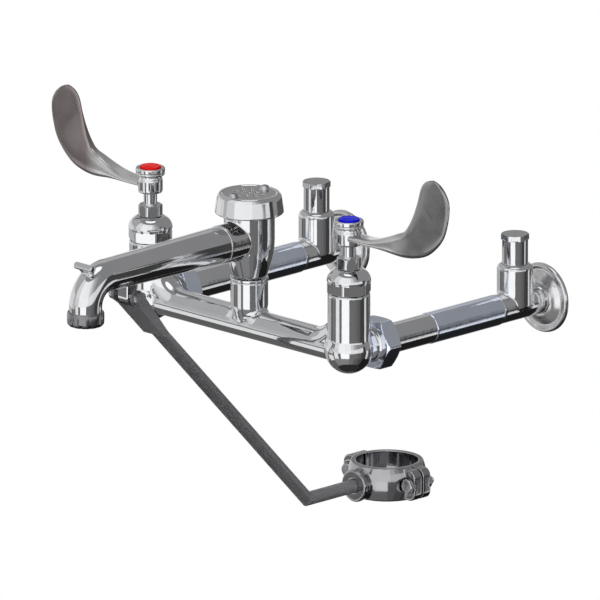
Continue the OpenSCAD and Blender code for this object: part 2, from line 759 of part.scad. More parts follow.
module stop_cap() color(chrome) translate([0, stop_y, cap_seat_z]) difference() {
    union() {
        cylinder(d = stop_cap_d, h = stop_cap_h - stop_hex_h);
        translate([0, 0, stop_cap_h - stop_hex_h]) rotate([0, 0, stop_hex_turn])
            hexagon(stop_hex_w, stop_hex_h, 0.9);
    }
    translate([0, 0, -over])
        cylinder(d = stop_cap_d - 2 * stop_cap_wall, h = stop_cap_h - stop_cap_wall + over);
}

module stop_spindle() color(brass) translate([0, stop_y, 0]) difference() {
    union() {
        translate([0, 0, spindle_z]) cylinder(d = spindle_d, h = spindle_head_z - spindle_z + over);
        translate([0, 0, spindle_head_z]) cylinder(d = spindle_d + 4, h = 4);
    }
    translate([-spindle_d, -0.7, spindle_head_z + 2.4]) cube([2 * spindle_d, 1.4, 2]);
}

module stop_plunger() color(brass) translate([0, stop_y, 0]) difference() {
    translate([0, 0, plunger_z]) cylinder(d = plunger_d, h = plunger_top - plunger_z);
    translate([0, 0, spindle_z - 0.4]) cylinder(d = spindle_d + 2 * fit, h = plunger_top);
}

// Wall flange: a domed middle, a groove and a raised rim, hollow behind the dome
module wall_flange() color(chrome) along_y(valve_to_wall - flange_t) rotate_extrude() {
    bore_r = arm_d / 2 + fit;
    rim_r = flange_d / 2;
    groove_r = rim_r - flange_rim_w;
    dome_w = groove_r - flange_groove_w - bore_r;
    groove_z = flange_rim_drop + flange_groove_depth;
    dome = [for (p = flange_dome) [bore_r + p[0] * dome_w, p[1] * groove_z]];
    polygon(concat(dome, [
        [bore_r + dome_w, groove_z], [groove_r, groove_z],
        [groove_r + 0.3 * flange_rim_w, flange_rim_drop + 0.4], [groove_r + 0.6 * flange_rim_w, flange_rim_drop],
        [rim_r - 0.6, flange_rim_drop + 0.6], [rim_r, flange_rim_drop + 1.8],
        [rim_r, flange_t], [bore_r + 0.9 * dome_w, flange_t]
    ], [for (i = [len(dome) - 1:-1:0]) dome[i] + [0, flange_sheet]]));
}

// Points of the flange's dome: parts of its width and of its depth
flange_dome = [[0, 0.1], [0.13, 0], [0.38, 0.1], [0.62, 0.36], [0.82, 0.68]];

// Spout and vacuum breaker

module spout_collar() color(chrome) difference() {
    union() {
        translate([0, 0, hub_top]) cylinder(d = hub_d + 0.4, h = collar_h);
        translate([0, 0, hub_top - hub_recess_depth + tail_ring_t + 0.4])
            cylinder(d = hub_recess_d - 2 * fit, h = hub_recess_depth - tail_ring_t - 0.4 + over);
    }
    translate([0, 0, hub_top - hub_recess_depth])
        cylinder(d = tail_d + 2 * fit, h = hub_recess_depth + collar_h + over);
}

// Outline of the breaker body: an arc swells from the foot to the full diameter
module breaker_outline() {
    swell = (breaker_d - foot_d) / 2;
    swell_h = spout_z - foot_z;
    swell_r = (pow(swell_h, 2) + pow(swell, 2)) / (2 * swell);
    intersection() {
        translate([0, foot_z]) square([breaker_d / 2, swell_h]);
        translate([breaker_d / 2 - swell_r, spout_z]) circle(r = swell_r, $fn = 360);
    }
    translate([0, spout_z - 0.5]) square([breaker_d / 2, breaker_top - spout_z + 0.5]);
}

module breaker_body() color(chrome) in_valve_frame() difference() {
    union() {
        rotate_extrude() breaker_outline();
        translate([0, 0, spout_z]) rotate([90, 0, 0]) cylinder(d = socket_d, h = socket_len);
        translate([0, 0, hub_top - tail_depth]) cylinder(d = tail_d, h = foot_z - hub_top + tail_depth + over);
        translate([0, 0, hub_top - hub_recess_depth + 0.2])
            cylinder(d = hub_recess_d - 0.6, h = tail_ring_t);
    }
    difference() {
        union() {
            translate([0, 0, float_floor]) cylinder(d = float_chamber_d, h = breaker_top);
            translate([0, 0, spout_z]) rotate([90, 0, 0]) cylinder(d = spout_bore_d, h = socket_len + over);
        }
        translate([0, 0, float_floor - over]) cylinder(d = nozzle_d + 5, h = nozzle_h + over);
    }
    translate([0, 0, spout_z]) rotate([90, 0, 0]) translate([0, 0, socket_len - spigot_len])
        cylinder(d = tube_spigot_d + 2 * fit, h = spigot_len + over);
    translate([0, 0, hub_top - tail_depth - over]) cylinder(d = nozzle_d - 3, h = tail_depth + 12);
    translate([0, 0, foot_z + 6]) cylinder(d = nozzle_d, h = nozzle_top);
    at_cap_screws(cap_screw_bottom) cylinder(d = cap_screw_d + 2 * fit, h = breaker_top);
    for (z = shank_ring_z) translate([0, 0, z]) ring(tail_d + over, ring_groove_d, ring_groove);
    rotate([0, 0, weep_hole_angle]) translate([0, weep_hole_d - breaker_d / 2, breaker_top - 1.3 * weep_hole_d])
        rotate([90, 0, 0]) cylinder(d = weep_hole_d, h = 2 * weep_hole_d);
}

module at_cap_screws(z) for (y = [-cap_screw_r, cap_screw_r]) translate([0, y, z]) children();

module breaker_seat() color(rubber) in_valve_frame() translate([0, 0, nozzle_top])
    ring(nozzle_d + 4, nozzle_d, seat_ring_t);

module breaker_float() color(rubber) in_valve_frame() {
    translate([0, 0, float_z]) cylinder(d = float_d, h = float_flange_t);
    translate([0, 0, float_z]) cylinder(d = vent_d - 2, h = float_top - float_z);
    translate([0, 0, float_top - float_flange_t]) cylinder(d = vent_d + 5, h = float_flange_t);
}

module vent_plate() color(brass) in_valve_frame() difference() {
    translate([0, 0, breaker_top]) cylinder(d = breaker_d - 0.6, h = vent_plate_t);
    translate([0, 0, breaker_top - over]) cylinder(d = vent_d, h = vent_plate_t + 2 * over);
    at_cap_screws(breaker_top - over) cylinder(d = cap_screw_d + 2 * fit, h = vent_plate_t + 2 * over);
}

module breaker_cap() color(chrome) in_valve_frame() difference() {
    union() {
        difference() {
            translate([0, 0, cap_z]) rotate_extrude() polygon([
                [0, 0], [cap_d / 2 - 0.6, 0], [cap_d / 2, 0.8], [cap_top_d / 2 + 0.6, cap_h - 2.4],
                [cap_recess_r + 0.9 * cap_rim_w, cap_h - 0.7], [cap_recess_r + 0.6 * cap_rim_w, cap_h],
                [cap_recess_r + 0.2 * cap_rim_w, cap_h], [cap_recess_r, cap_h - cap_recess], [0, cap_h - cap_recess]
            ]);
            translate([0, 0, cap_z - over]) cylinder(d1 = cap_d - 2 * cap_wall, d2 = cap_top_d - 2 * cap_wall,
                h = cap_face_z - cap_wall - cap_z + over);
        }
        at_cap_screws(breaker_top + vent_plate_t)
            cylinder(d = screw_post_d, h = cap_h - vent_plate_t - cap_wall);
    }
    at_cap_screws(cap_z) cylinder(d = cap_screw_d + 2 * fit, h = cap_h + over);
    for (row = cap_hole_rows) for (i = [0:row[0] - 1])
        rotate([0, 0, 360 * (i + row[2]) / row[0]]) translate([row[1], 0, cap_top - cap_wall - 2])
            cylinder(d = air_hole_d, h = cap_wall + 4, $fn = 24);
}

// Rows of air holes: their number, their distance from the middle and their turn
cap_hole_rows = [[1, 0, 0], [6, 5.6, 0], [10, 10.6, 0.5]];

module cap_screws() color(chrome) in_valve_frame() at_cap_screws(0) difference() {
    union() {
        translate([0, 0, cap_face_z - cap_screw_len]) cylinder(d = cap_screw_d, h = cap_screw_len + over);
        translate([0, 0, cap_face_z])
            cylinder(d1 = cap_screw_head_d, d2 = cap_screw_head_d - 1.6, h = cap_screw_head_h);
    }
    translate([0, 0, cap_face_z + cap_screw_head_h]) screw_slot(cap_screw_head_d);
}

module shank_rings() color(rubber) in_valve_frame() for (z = shank_ring_z)
    translate([0, 0, z + 0.1]) ring(tail_d + fit, ring_groove_d + 2 * fit, ring_groove - 0.2);

module spout_arm() color(chrome) in_valve_frame() difference() {
    union() {
        translate([0, -tube_start, spout_z]) rotate([90, 0, 0])
            cylinder(d1 = tube_root_d, d2 = tube_tip_d, h = tube_end - tube_start);
        translate([0, -(tube_start - spigot_len), spout_z]) rotate([90, 0, 0])
            cylinder(d = tube_spigot_d, h = spigot_len + over);
        spout_elbow(tube_tip_d);
        translate([0, -spout_reach, outlet_z + 2]) cylinder(d = tube_tip_d, h = neck_z - outlet_z - 2);
        translate([0, -tube_end, neck_z]) rotate([90 - hook_angle, 0, 0]) translate([0, 0, elbow_r])
            pail_hook();
        lug();
    }
    translate([0, -(tube_start - spigot_len) + over, spout_z]) rotate([90, 0, 0])
        cylinder(d = spout_bore_d, h = tube_end - tube_start + spigot_len + over);
    spout_elbow(spout_bore_d);
    translate([0, -spout_reach, outlet_z]) cylinder(d = spout_bore_d, h = neck_z - outlet_z);
    lug_pin_axis() translate([0, 0, -strap_w]) cylinder(d = pin_d + 2 * fit, h = 2 * strap_w);
}

// Quarter bend from the level tube down to the neck
module spout_elbow(d) translate([0, -tube_end, neck_z]) rotate([0, -90, 0]) mirror([0, 1, 0])
    rotate_extrude(angle = 90) translate([elbow_r, 0]) circle(d = d);

// Neck that widens up to a cross bar, drawn upwards from the elbow's centre line
module pail_hook() {
    bar_flat = hook_bar_len / 2 - 1;
    translate([0, hook_neck_t / 2, 0]) rotate([90, 0, 0]) linear_extrude(hook_neck_t) polygon([
        [-hook_neck_w / 2, spout_bore_d / 2 + 1.5], [hook_neck_w / 2, spout_bore_d / 2 + 1.5],
        [hook_neck_w / 2, hook_len - 4], [hook_bar_len / 2 - 2.5, hook_len], [2.5 - hook_bar_len / 2, hook_len],
        [-hook_neck_w / 2, hook_len - 4]
    ]);
    translate([0, 0, hook_len]) rotate([0, 90, 0]) rotate_extrude() polygon([
        [0, -hook_bar_len / 2], [hook_bar_d / 2 - 1, -hook_bar_len / 2], [hook_bar_d / 2, -bar_flat],
        [hook_bar_d / 2, bar_flat], [hook_bar_d / 2 - 1, hook_bar_len / 2], [0, hook_bar_len / 2]
    ]);
}

module lug_pin_axis() translate([0, -lug_y, lug_z]) rotate([0, 90, 0]) children();

module lug() {
    lug_pin_axis() translate([0, 0, -lug_w / 2]) cylinder(r = lug_r, h = lug_w);
    translate([-lug_w / 2, -lug_y - lug_r, lug_z]) cube([lug_w, 2 * lug_r, lug_drop - spout_bore_d / 2 - 1.5]);
}

module outlet_ring() color(dark_steel) in_valve_frame() translate([0, -spout_reach, outlet_z]) difference() {
    rotate_extrude() polygon([
        [0, 0], [outlet_d / 2 - 0.8, 0], [outlet_d / 2, 0.8], [outlet_d / 2, outlet_len - 0.6],
        [outlet_d / 2 - 0.6, outlet_len], [0, outlet_len]
    ]);
    translate([0, 0, 2]) cylinder(d = tube_tip_d + 2 * fit, h = outlet_len);
    translate([0, 0, -over]) cylinder(d = spout_bore_d, h = outlet_len);
}

module outlet_screen() color(dark_steel) in_valve_frame() translate([0, -spout_reach, outlet_z + 0.4])
    difference() {
    cylinder(d = spout_bore_d - 2 * fit, h = 1.5);
    for (row = [[1, 0], [6, 0.3], [12, 0.6]]) for (i = [0:row[0] - 1])
        rotate([0, 0, 360 * i / row[0]]) translate([row[1] * spout_bore_d / 2, 0, -over])
            cylinder(d = 1.5, h = 4, $fn = 16);
}

// Brace: the strap and the rod are drawn along the rod's slanted axis from the pivot

module brace_frame() in_valve_frame() translate([0, -lug_y, lug_z]) rotate([-90 - rod_angle, 0, 0]) children();

module brace_pin() color(chrome) in_valve_frame() lug_pin_axis() {
    translate([0, 0, -strap_w / 2 - 1]) cylinder(d = pin_d, h = strap_w + 2);
    for (end = [-1, 1]) translate([0, 0, end * (strap_w / 2 + 0.25 + pin_head_t / 2) - pin_head_t / 2])
        cylinder(d = pin_head_d, h = pin_head_t);
}

module brace_strap() color(dark_steel) brace_frame() difference() {
    union() {
        for (end = [-1, 1]) translate([end * (strap_w - strap_t) / 2 - strap_t / 2, 0, 0]) rotate([0, 90, 0]) {
            cylinder(r = strap_end_r, h = strap_t);
            linear_extrude(strap_t) polygon([
                [0, -strap_end_r], [0, strap_end_r], [-strap_gap, strap_face], [-strap_len, strap_face],
                [-strap_len, strap_face - strap_side]
            ]);
        }
        translate([-strap_w / 2, rod_flat, strap_gap]) cube([strap_w, strap_t, strap_len - strap_gap]);
    }
    rotate([0, 90, 0]) translate([0, 0, -strap_w]) cylinder(d = pin_d + 2 * fit, h = 2 * strap_w);
}

module brace_rod() color(dark_steel) {
    difference() {
        brace_frame() translate([0, 0, rod_gap]) cylinder(d = rod_d, h = rod_len - rod_gap + rod_d);
        brace_frame() translate([-rod_d, rod_flat, 0]) cube([2 * rod_d, rod_d, strap_len + 0.5]);
        miter() translate([-rod_d, -rod_d, 0]) cube([2 * rod_d, 2 * rod_d, 3 * rod_d]);
    }
    difference() {
        in_valve_frame() translate([0, bend_y - rod_d, bend_z]) rotate([-90, 0, 0])
            cylinder(d = rod_d, h = rod_foot + rod_d);
        miter() translate([-rod_d, -rod_d, -3 * rod_d]) cube([2 * rod_d, 2 * rod_d, 3 * rod_d]);
    }
}

// Plane that halves the angle between the slanted and the level rod, with +Z on the level rod's side
module miter() in_valve_frame() translate([0, bend_y, bend_z]) rotate([-90 - rod_angle / 2, 0, 0]) children();

// Pipe clamp

module clamp_frame() in_valve_frame() translate([0, ring_y, bend_z]) children();

module ring_frame() translate([0, 0, clamp_lift]) children();

// Half of the barrel-shaped ring, on the -Y or the +Y side
module half_ring(end) intersection() {
    rotate_extrude() difference() {
        intersection() {
            translate([0, -clamp_h / 2]) square([ring_edge_r + clamp_crown, clamp_h]);
            translate([ring_edge_r + clamp_crown - crown_r, 0]) circle(r = crown_r, $fn = 200);
        }
        translate([0, -clamp_h]) square([ring_r, 2 * clamp_h]);
    }
    jaw_side(end);
}

module jaw_side(end) {
    reach = 3 * ring_r;
    translate([-reach, end > 0 ? jaw_gap / 2 : -jaw_gap / 2 - reach, -reach])
        cube([2 * reach, reach, 2 * reach]);
}

// Flat ear with rounded outer corners, drawn from the ring outwards
module ear_outline() {
    root = 1 - ear_offset;
    translate([root, -ear_h / 2]) square([ear_edge - ear_corner - root, ear_h]);
    translate([root, ear_corner - ear_h / 2]) square([ear_edge - root, ear_h - 2 * ear_corner]);
    for (end = [-1, 1]) translate([ear_edge - ear_corner, end * (ear_h / 2 - ear_corner)])
        circle(r = ear_corner);
}

module ears(end) for (side = [0, 1]) mirror([side, 0, 0]) translate([ear_x, end * jaw_gap / 2, 0])
    rotate([-90 * end, 0, 0]) linear_extrude(ear_t) ear_outline();

// Screw holes through the ears and the spot faces at their outer ends
module ear_holes() for (x = [-ear_x, ear_x], end = [-1, 1]) translate([x, 0, 0]) rotate([-90 * end, 0, 0]) {
    cylinder(d = clamp_screw_d + 2 * fit, h = 2 * ear_t);
    translate([0, 0, seat_y]) cylinder(d = clamp_hex_w + 2 * spot_room, h = ring_r);
}

module clamp_front_jaw() color(dark_steel) clamp_frame() difference() {
    union() {
        ring_frame() half_ring(-1);
        ring_frame() ears(-1);
        translate([0, -rod_boss_len, 0]) rotate([-90, 0, 0]) rotate_extrude() polygon([
            [0, 0], [rod_boss_d / 2 - 0.8, 0], [rod_boss_d / 2, 0.8], [rod_boss_d / 2, 3.4],
            [boss_neck_r, 4.2], [boss_neck_r, rod_boss_len - ring_r - 1], [0, rod_boss_len - ring_r - 1]
        ]);
    }
    translate([0, -rod_boss_len - over, 0]) rotate([-90, 0, 0]) cylinder(d = rod_d + 2 * fit, h = rod_boss_len);
    cylinder(d = pipe_d, h = 3 * clamp_h, center = true);
    ring_frame() ear_holes();
    translate([0, set_screw_y, 0]) cylinder(d = set_screw_d + 2 * fit, h = rod_boss_d);
}

module clamp_rear_jaw() color(dark_steel) clamp_frame() ring_frame() difference() {
    union() {
        half_ring(1);
        ears(1);
    }
    cylinder(d = pipe_d, h = 2 * clamp_h, center = true);
    ear_holes();
}

module clamp_screws() color(chrome) clamp_frame() ring_frame() for (x = [-ear_x, ear_x])
    translate([x, -seat_y, 0]) rotate([-90, 0, 0]) {
        cylinder(d = clamp_screw_d, h = clamp_screw_len);
        translate([0, 0, -clamp_hex_t]) hexagon(clamp_hex_w, clamp_hex_t, 0.6);
    }

module clamp_nuts() color(chrome) clamp_frame() ring_frame() for (x = [-ear_x, ear_x])
    translate([x, seat_y, 0]) rotate([-90, 0, 0]) difference() {
        hexagon(clamp_hex_w, clamp_hex_t, 0.6);
        translate([0, 0, -over]) cylinder(d = clamp_screw_d + 2 * fit, h = clamp_hex_t + 2 * over);
    }

module set_screw() color(chrome) clamp_frame() translate([0, set_screw_y, 0]) difference() {
    translate([0, 0, rod_d / 2 + 0.1]) cylinder(d = set_screw_d, h = boss_neck_r - rod_d / 2 - 0.1);
    translate([0, 0, boss_neck_r - 2.4]) cylinder(d = set_screw_d / 2, h = 4, $fn = 6);
}

// Nodes

faucet_body();
at_valve(HOT) bonnet(hot_bonnet_spin);  // hot_bonnet
at_valve(COLD) bonnet(cold_bonnet_spin);  // cold_bonnet
at_valve(HOT) packing_nut();  // hot_packing_nut
at_valve(COLD) packing_nut();  // cold_packing_nut
at_valve(HOT) cartridge();  // hot_cartridge
at_valve(COLD) cartridge();  // cold_cartridge
for (side = [HOT, COLD]) at_valve(side) fixed_disc();  // fixed_discs
for (side = [HOT, COLD]) at_valve(side) seat_seal();  // seat_seals
for (side = [HOT, COLD]) at_valve(side) stem_packing();  // stem_packings
at_valve(HOT) stem();  // hot_stem
at_valve(COLD) stem();  // cold_stem
at_valve(HOT) moving_disc();  // hot_moving_disc
at_valve(COLD) moving_disc();  // cold_moving_disc
at_valve(HOT) handle(HOT);  // hot_handle
at_valve(COLD) handle(COLD);  // cold_handle
at_valve(HOT) handle_screw();  // hot_handle_screw
at_valve(COLD) handle_screw();  // cold_handle_screw
at_valve(HOT) index_button([0.85, 0, 0]);  // hot_index_button
at_valve(COLD) index_button([0.05, 0, 0.85]);  // cold_index_button
at_valve(HOT) coupling_nut();  // hot_coupling_nut
at_valve(COLD) coupling_nut();  // cold_coupling_nut
for (side = [HOT, COLD]) at_valve(side) coupling_washer();  // coupling_washers
at_valve(HOT) supply_tube();  // hot_supply_tube
at_valve(COLD) supply_tube();  // cold_supply_tube
at_valve(HOT) supply_sleeve();  // hot_supply_sleeve
at_valve(COLD) supply_sleeve();  // cold_supply_sleeve
at_valve(HOT) stop_body();  // hot_stop_body
at_valve(COLD) stop_body();  // cold_stop_body
for (side = [HOT, COLD]) at_valve(side) stop_gland();  // stop_glands
at_valve(HOT) stop_cap();  // hot_stop_cap
at_valve(COLD) stop_cap();  // cold_stop_cap
at_valve(HOT) stop_spindle();  // hot_stop_spindle
at_valve(COLD) stop_spindle();  // cold_stop_spindle
at_valve(HOT) stop_plunger();  // hot_stop_plunger
at_valve(COLD) stop_plunger();  // cold_stop_plunger
at_valve(HOT) wall_flange();  // hot_wall_flange
at_valve(COLD) wall_flange();  // cold_wall_flange
in_valve_frame() spout_collar();
breaker_body();
breaker_seat();
breaker_float();
vent_plate();
breaker_cap();
cap_screws();
shank_rings();
spout_arm();
outlet_ring();
outlet_screen();
brace_pin();
brace_strap();
brace_rod();
clamp_front_jaw();
clamp_rear_jaw();
clamp_screws();
clamp_nuts();
set_screw();
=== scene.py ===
"""Looks of a commercial wall faucet: finishes, detailed pieces, studio and camera."""

import logging
import math
from dataclasses import dataclass
from enum import Enum
from typing import Protocol

import bmesh
import bpy
from mathutils import Matrix, Vector


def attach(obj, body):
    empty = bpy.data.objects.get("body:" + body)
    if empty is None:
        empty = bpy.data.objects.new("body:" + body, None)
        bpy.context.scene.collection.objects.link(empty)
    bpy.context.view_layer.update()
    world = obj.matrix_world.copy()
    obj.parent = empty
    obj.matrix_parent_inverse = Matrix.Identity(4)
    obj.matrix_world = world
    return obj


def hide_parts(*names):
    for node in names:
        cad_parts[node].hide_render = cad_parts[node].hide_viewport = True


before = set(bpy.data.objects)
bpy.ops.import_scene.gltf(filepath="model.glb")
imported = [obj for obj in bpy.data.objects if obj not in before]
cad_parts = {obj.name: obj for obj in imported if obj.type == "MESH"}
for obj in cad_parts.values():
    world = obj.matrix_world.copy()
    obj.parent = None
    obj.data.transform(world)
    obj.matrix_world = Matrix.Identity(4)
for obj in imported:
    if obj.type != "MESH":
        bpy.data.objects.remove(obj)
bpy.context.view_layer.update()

log = logging.getLogger("wall_faucet")

Pair = tuple[float, float]
Triple = tuple[float, float, float]
Socket = bpy.types.NodeSocket

# Sizes are in millimetres, except where a text says metres. TINY is a radius that counts as none.
MM = 0.001
TINY = 1e-6
ROW_Y = -200.0
HALF_CENTRES = 101.6
WHITE = (1, 1, 1, 1)


class Side(Enum):
    """The two supply sides, each with the sign of its X."""

    HOT = -1
    COLD = 1

    @property
    def word(self) -> str:
        """Gives the side's name as the nodes write it."""
        return self.name.lower()

    @property
    def x(self) -> float:
        """Gives the X of the side's valve axis in millimetres."""
        return self.value * HALF_CENTRES


class Surface(Enum):
    """The kinds of surface that a finish can have."""

    POLISHED = "polished"
    BRUSHED = "brushed"
    MOULDED = "moulded"


class NodeWriter:
    """Adds shader nodes to a material or a world and links them."""

    def __init__(self, owner: bpy.types.Material | bpy.types.World) -> None:
        """Clears the owner's nodes.

        Args:
            owner: The material or world to fill.
        """
        owner.use_nodes = True
        self.tree = owner.node_tree
        self.tree.nodes.clear()

    def link(self, source: Socket, target: Socket) -> None:
        """Links one socket to another."""
        self.tree.links.new(source, target)

    def add(self, kind: str, inputs: dict[str | int, object] | None = None) -> bpy.types.Node:
        """Adds a node, with some inputs linked to a socket or set to a constant.

        Args:
            kind: The node's type.
            inputs: Names or numbers of inputs, each with its socket or constant.

        Returns:
            The node.
        """
        node = self.tree.nodes.new(kind)
        for key, value in (inputs or {}).items():
            if isinstance(value, Socket):
                self.link(value, node.inputs[key])
            else:
                node.inputs[key].default_value = value
        return node

    def maths(self, operation: str, *values: Socket | float) -> Socket:
        """Adds an operation on sockets and numbers, and gives its result.

        Args:
            operation: The operation's name.
            values: What it works on.

        Returns:
            The result's socket.
        """
        node = self.add("ShaderNodeMath", dict(enumerate(values)))
        node.operation = operation
        return node.outputs[0]


class SurfaceWriter(NodeWriter):
    """Writes the nodes of a material round one Principled shader."""

    def __init__(self, material: bpy.types.Material) -> None:
        """Starts a material with its shader, its output and the object's coordinates.

        Args:
            material: The material to fill.
        """
        super().__init__(material)
        self.shader = self.add("ShaderNodeBsdfPrincipled")
        self.output = self.add("ShaderNodeOutputMaterial", {"Surface": self.shader.outputs["BSDF"]})
        self.place = self.add("ShaderNodeTexCoord").outputs["Object"]

    def noise(self, scale: float, detail: float = 3.0, stretch: Triple = (1, 1, 1)) -> Socket:
        """Adds a noise texture in the object's own coordinates.

        Args:
            scale: Features per metre.
            detail: Octaves of finer noise.
            stretch: Scale of each axis before the noise.

        Returns:
            The noise value's socket.
        """
        mapping = self.add("ShaderNodeMapping", {"Scale": stretch, "Vector": self.place})
        place = mapping.outputs["Vector"]
        inputs = {"Scale": scale, "Detail": detail, "Vector": place}
        return self.add("ShaderNodeTexNoise", inputs).outputs["Fac"]

    def spread(self, value: Socket, low: float, high: float, span: Pair = (0.3, 0.7)) -> Socket:
        """Maps a span of a value to the range from low to high."""
        inputs = {"From Min": span[0], "From Max": span[1], "To Min": low, "To Max": high}
        return self.add("ShaderNodeMapRange", {**inputs, "Value": value}).outputs["Result"]

    def tint(
        self, value: Socket, first: Triple, second: Triple, span: Pair = (0.35, 0.65)
    ) -> Socket:
        """Mixes two colours by a value.

        Args:
            value: A socket that runs from 0 to 1.
            first: Colour at the start of the span and before it.
            second: Colour at the end of the span and after it.
            span: Start and end of the span.

        Returns:
            The mixed colour's socket.
        """
        ramp = self.add("ShaderNodeValToRGB", {"Fac": value})
        for k, colour in enumerate((first, second)):
            ramp.color_ramp.elements[k].position = span[k]
            ramp.color_ramp.elements[k].color = (*colour, 1)
        return ramp.outputs["Color"]

    def outward(self, start: float, end: float) -> Socket:
        """Runs from 0 to 1 with the distance from the plane between the two valves.

        Args:
            start: Distance in millimetres up to which it gives 0.
            end: Distance in millimetres from which it gives 1.

        Returns:
            The value's socket.
        """
        axes = self.add("ShaderNodeSeparateXYZ", {0: self.place})
        distance = self.maths("ABSOLUTE", axes.outputs["X"])
        return self.spread(distance, 0.0, 1.0, (start * MM, end * MM))

    def mix(self, value: Socket, first: Socket, second: Socket) -> Socket:
        """Mixes two colour sockets by a value."""
        inputs = {"Fac": value, "Color1": first, "Color2": second}
        return self.add("ShaderNodeMixRGB", inputs).outputs["Color"]

    def bump(self, value: Socket, depth: float, strength: float) -> None:
        """Adds a bump to the shader's normal.

        Args:
            value: The height, from 0 to 1.
            depth: Height in metres of the value 1.
            strength: How much the bump counts, from 0 to 1.
        """
        inputs = {"Strength": strength, "Distance": depth, "Height": value}
        node = self.add("ShaderNodeBump", inputs)
        normal = self.shader.inputs["Normal"]
        if normal.is_linked:
            self.link(normal.links[0].from_socket, node.inputs["Normal"])
        self.link(node.outputs["Normal"], normal)


@dataclass(frozen=True)
class Finish:
    """One surface finish of the faucet.

    The colour runs over to the shade in soft patches, and the roughness between its two values.
    With a near colour, the finish has that one in the middle of the faucet and its own colour
    outside, and the fade says between which distances from the middle plane it changes. The paddle
    finishes use this for painted shade: their own colour, darker than the chrome, lies on the
    paddles.
    """

    name: str
    slot: str
    colour: Triple
    shade: Triple
    roughness: Pair
    metallic: float = 1.0
    surface: Surface = Surface.POLISHED
    grain: float = 900.0
    ripple: float = 0.00002
    stretch: Triple = (1.0, 1.0, 1.0)
    near: Triple | None = None
    fade: Pair = (150.0, 165.0)
    patches: float = 45.0
    wear: float = 130.0
    waves: float = 160.0
    moulded_specular: float = 0.12

    def material(self) -> bpy.types.Material:
        """Builds the material once and finds it afterwards.

        Returns:
            The finish's material.
        """
        found = bpy.data.materials.get(self.name)
        if found is not None:
            return found
        material = bpy.data.materials.new(self.name)
        nodes = SurfaceWriter(material)
        shader = nodes.shader
        shader.inputs["Metallic"].default_value = self.metallic
        patches = nodes.noise(self.patches, 4.0, self.stretch)
        colour = nodes.tint(patches, self.colour, self.shade)
        # A near colour keeps the finish's own colour outside the fade; on the paddles that colour
        # is painted shade, darker than the arms' chrome.
        if self.near is not None:
            inner = nodes.tint(patches, self.near, tuple(0.95 * part for part in self.near))
            colour = nodes.mix(nodes.outward(*self.fade), inner, colour)
        nodes.link(colour, shader.inputs["Base Color"])
        wear = nodes.spread(nodes.noise(self.wear, 5.0, self.stretch), *self.roughness)
        nodes.link(wear, shader.inputs["Roughness"])
        if self.surface is Surface.POLISHED:
            nodes.bump(nodes.noise(self.waves, 2.0), self.ripple * 4, 0.4)
            nodes.bump(nodes.noise(self.grain, 3.0, self.stretch), self.ripple, 0.3)
        elif self.surface is Surface.BRUSHED:
            nodes.bump(nodes.noise(self.grain, 4.0, self.stretch), self.ripple * 3, 0.6)
        else:
            shader.inputs["Specular IOR Level"].default_value = self.moulded_specular
            nodes.bump(nodes.noise(self.grain, 2.0), self.ripple * 2, 0.3)
        return material


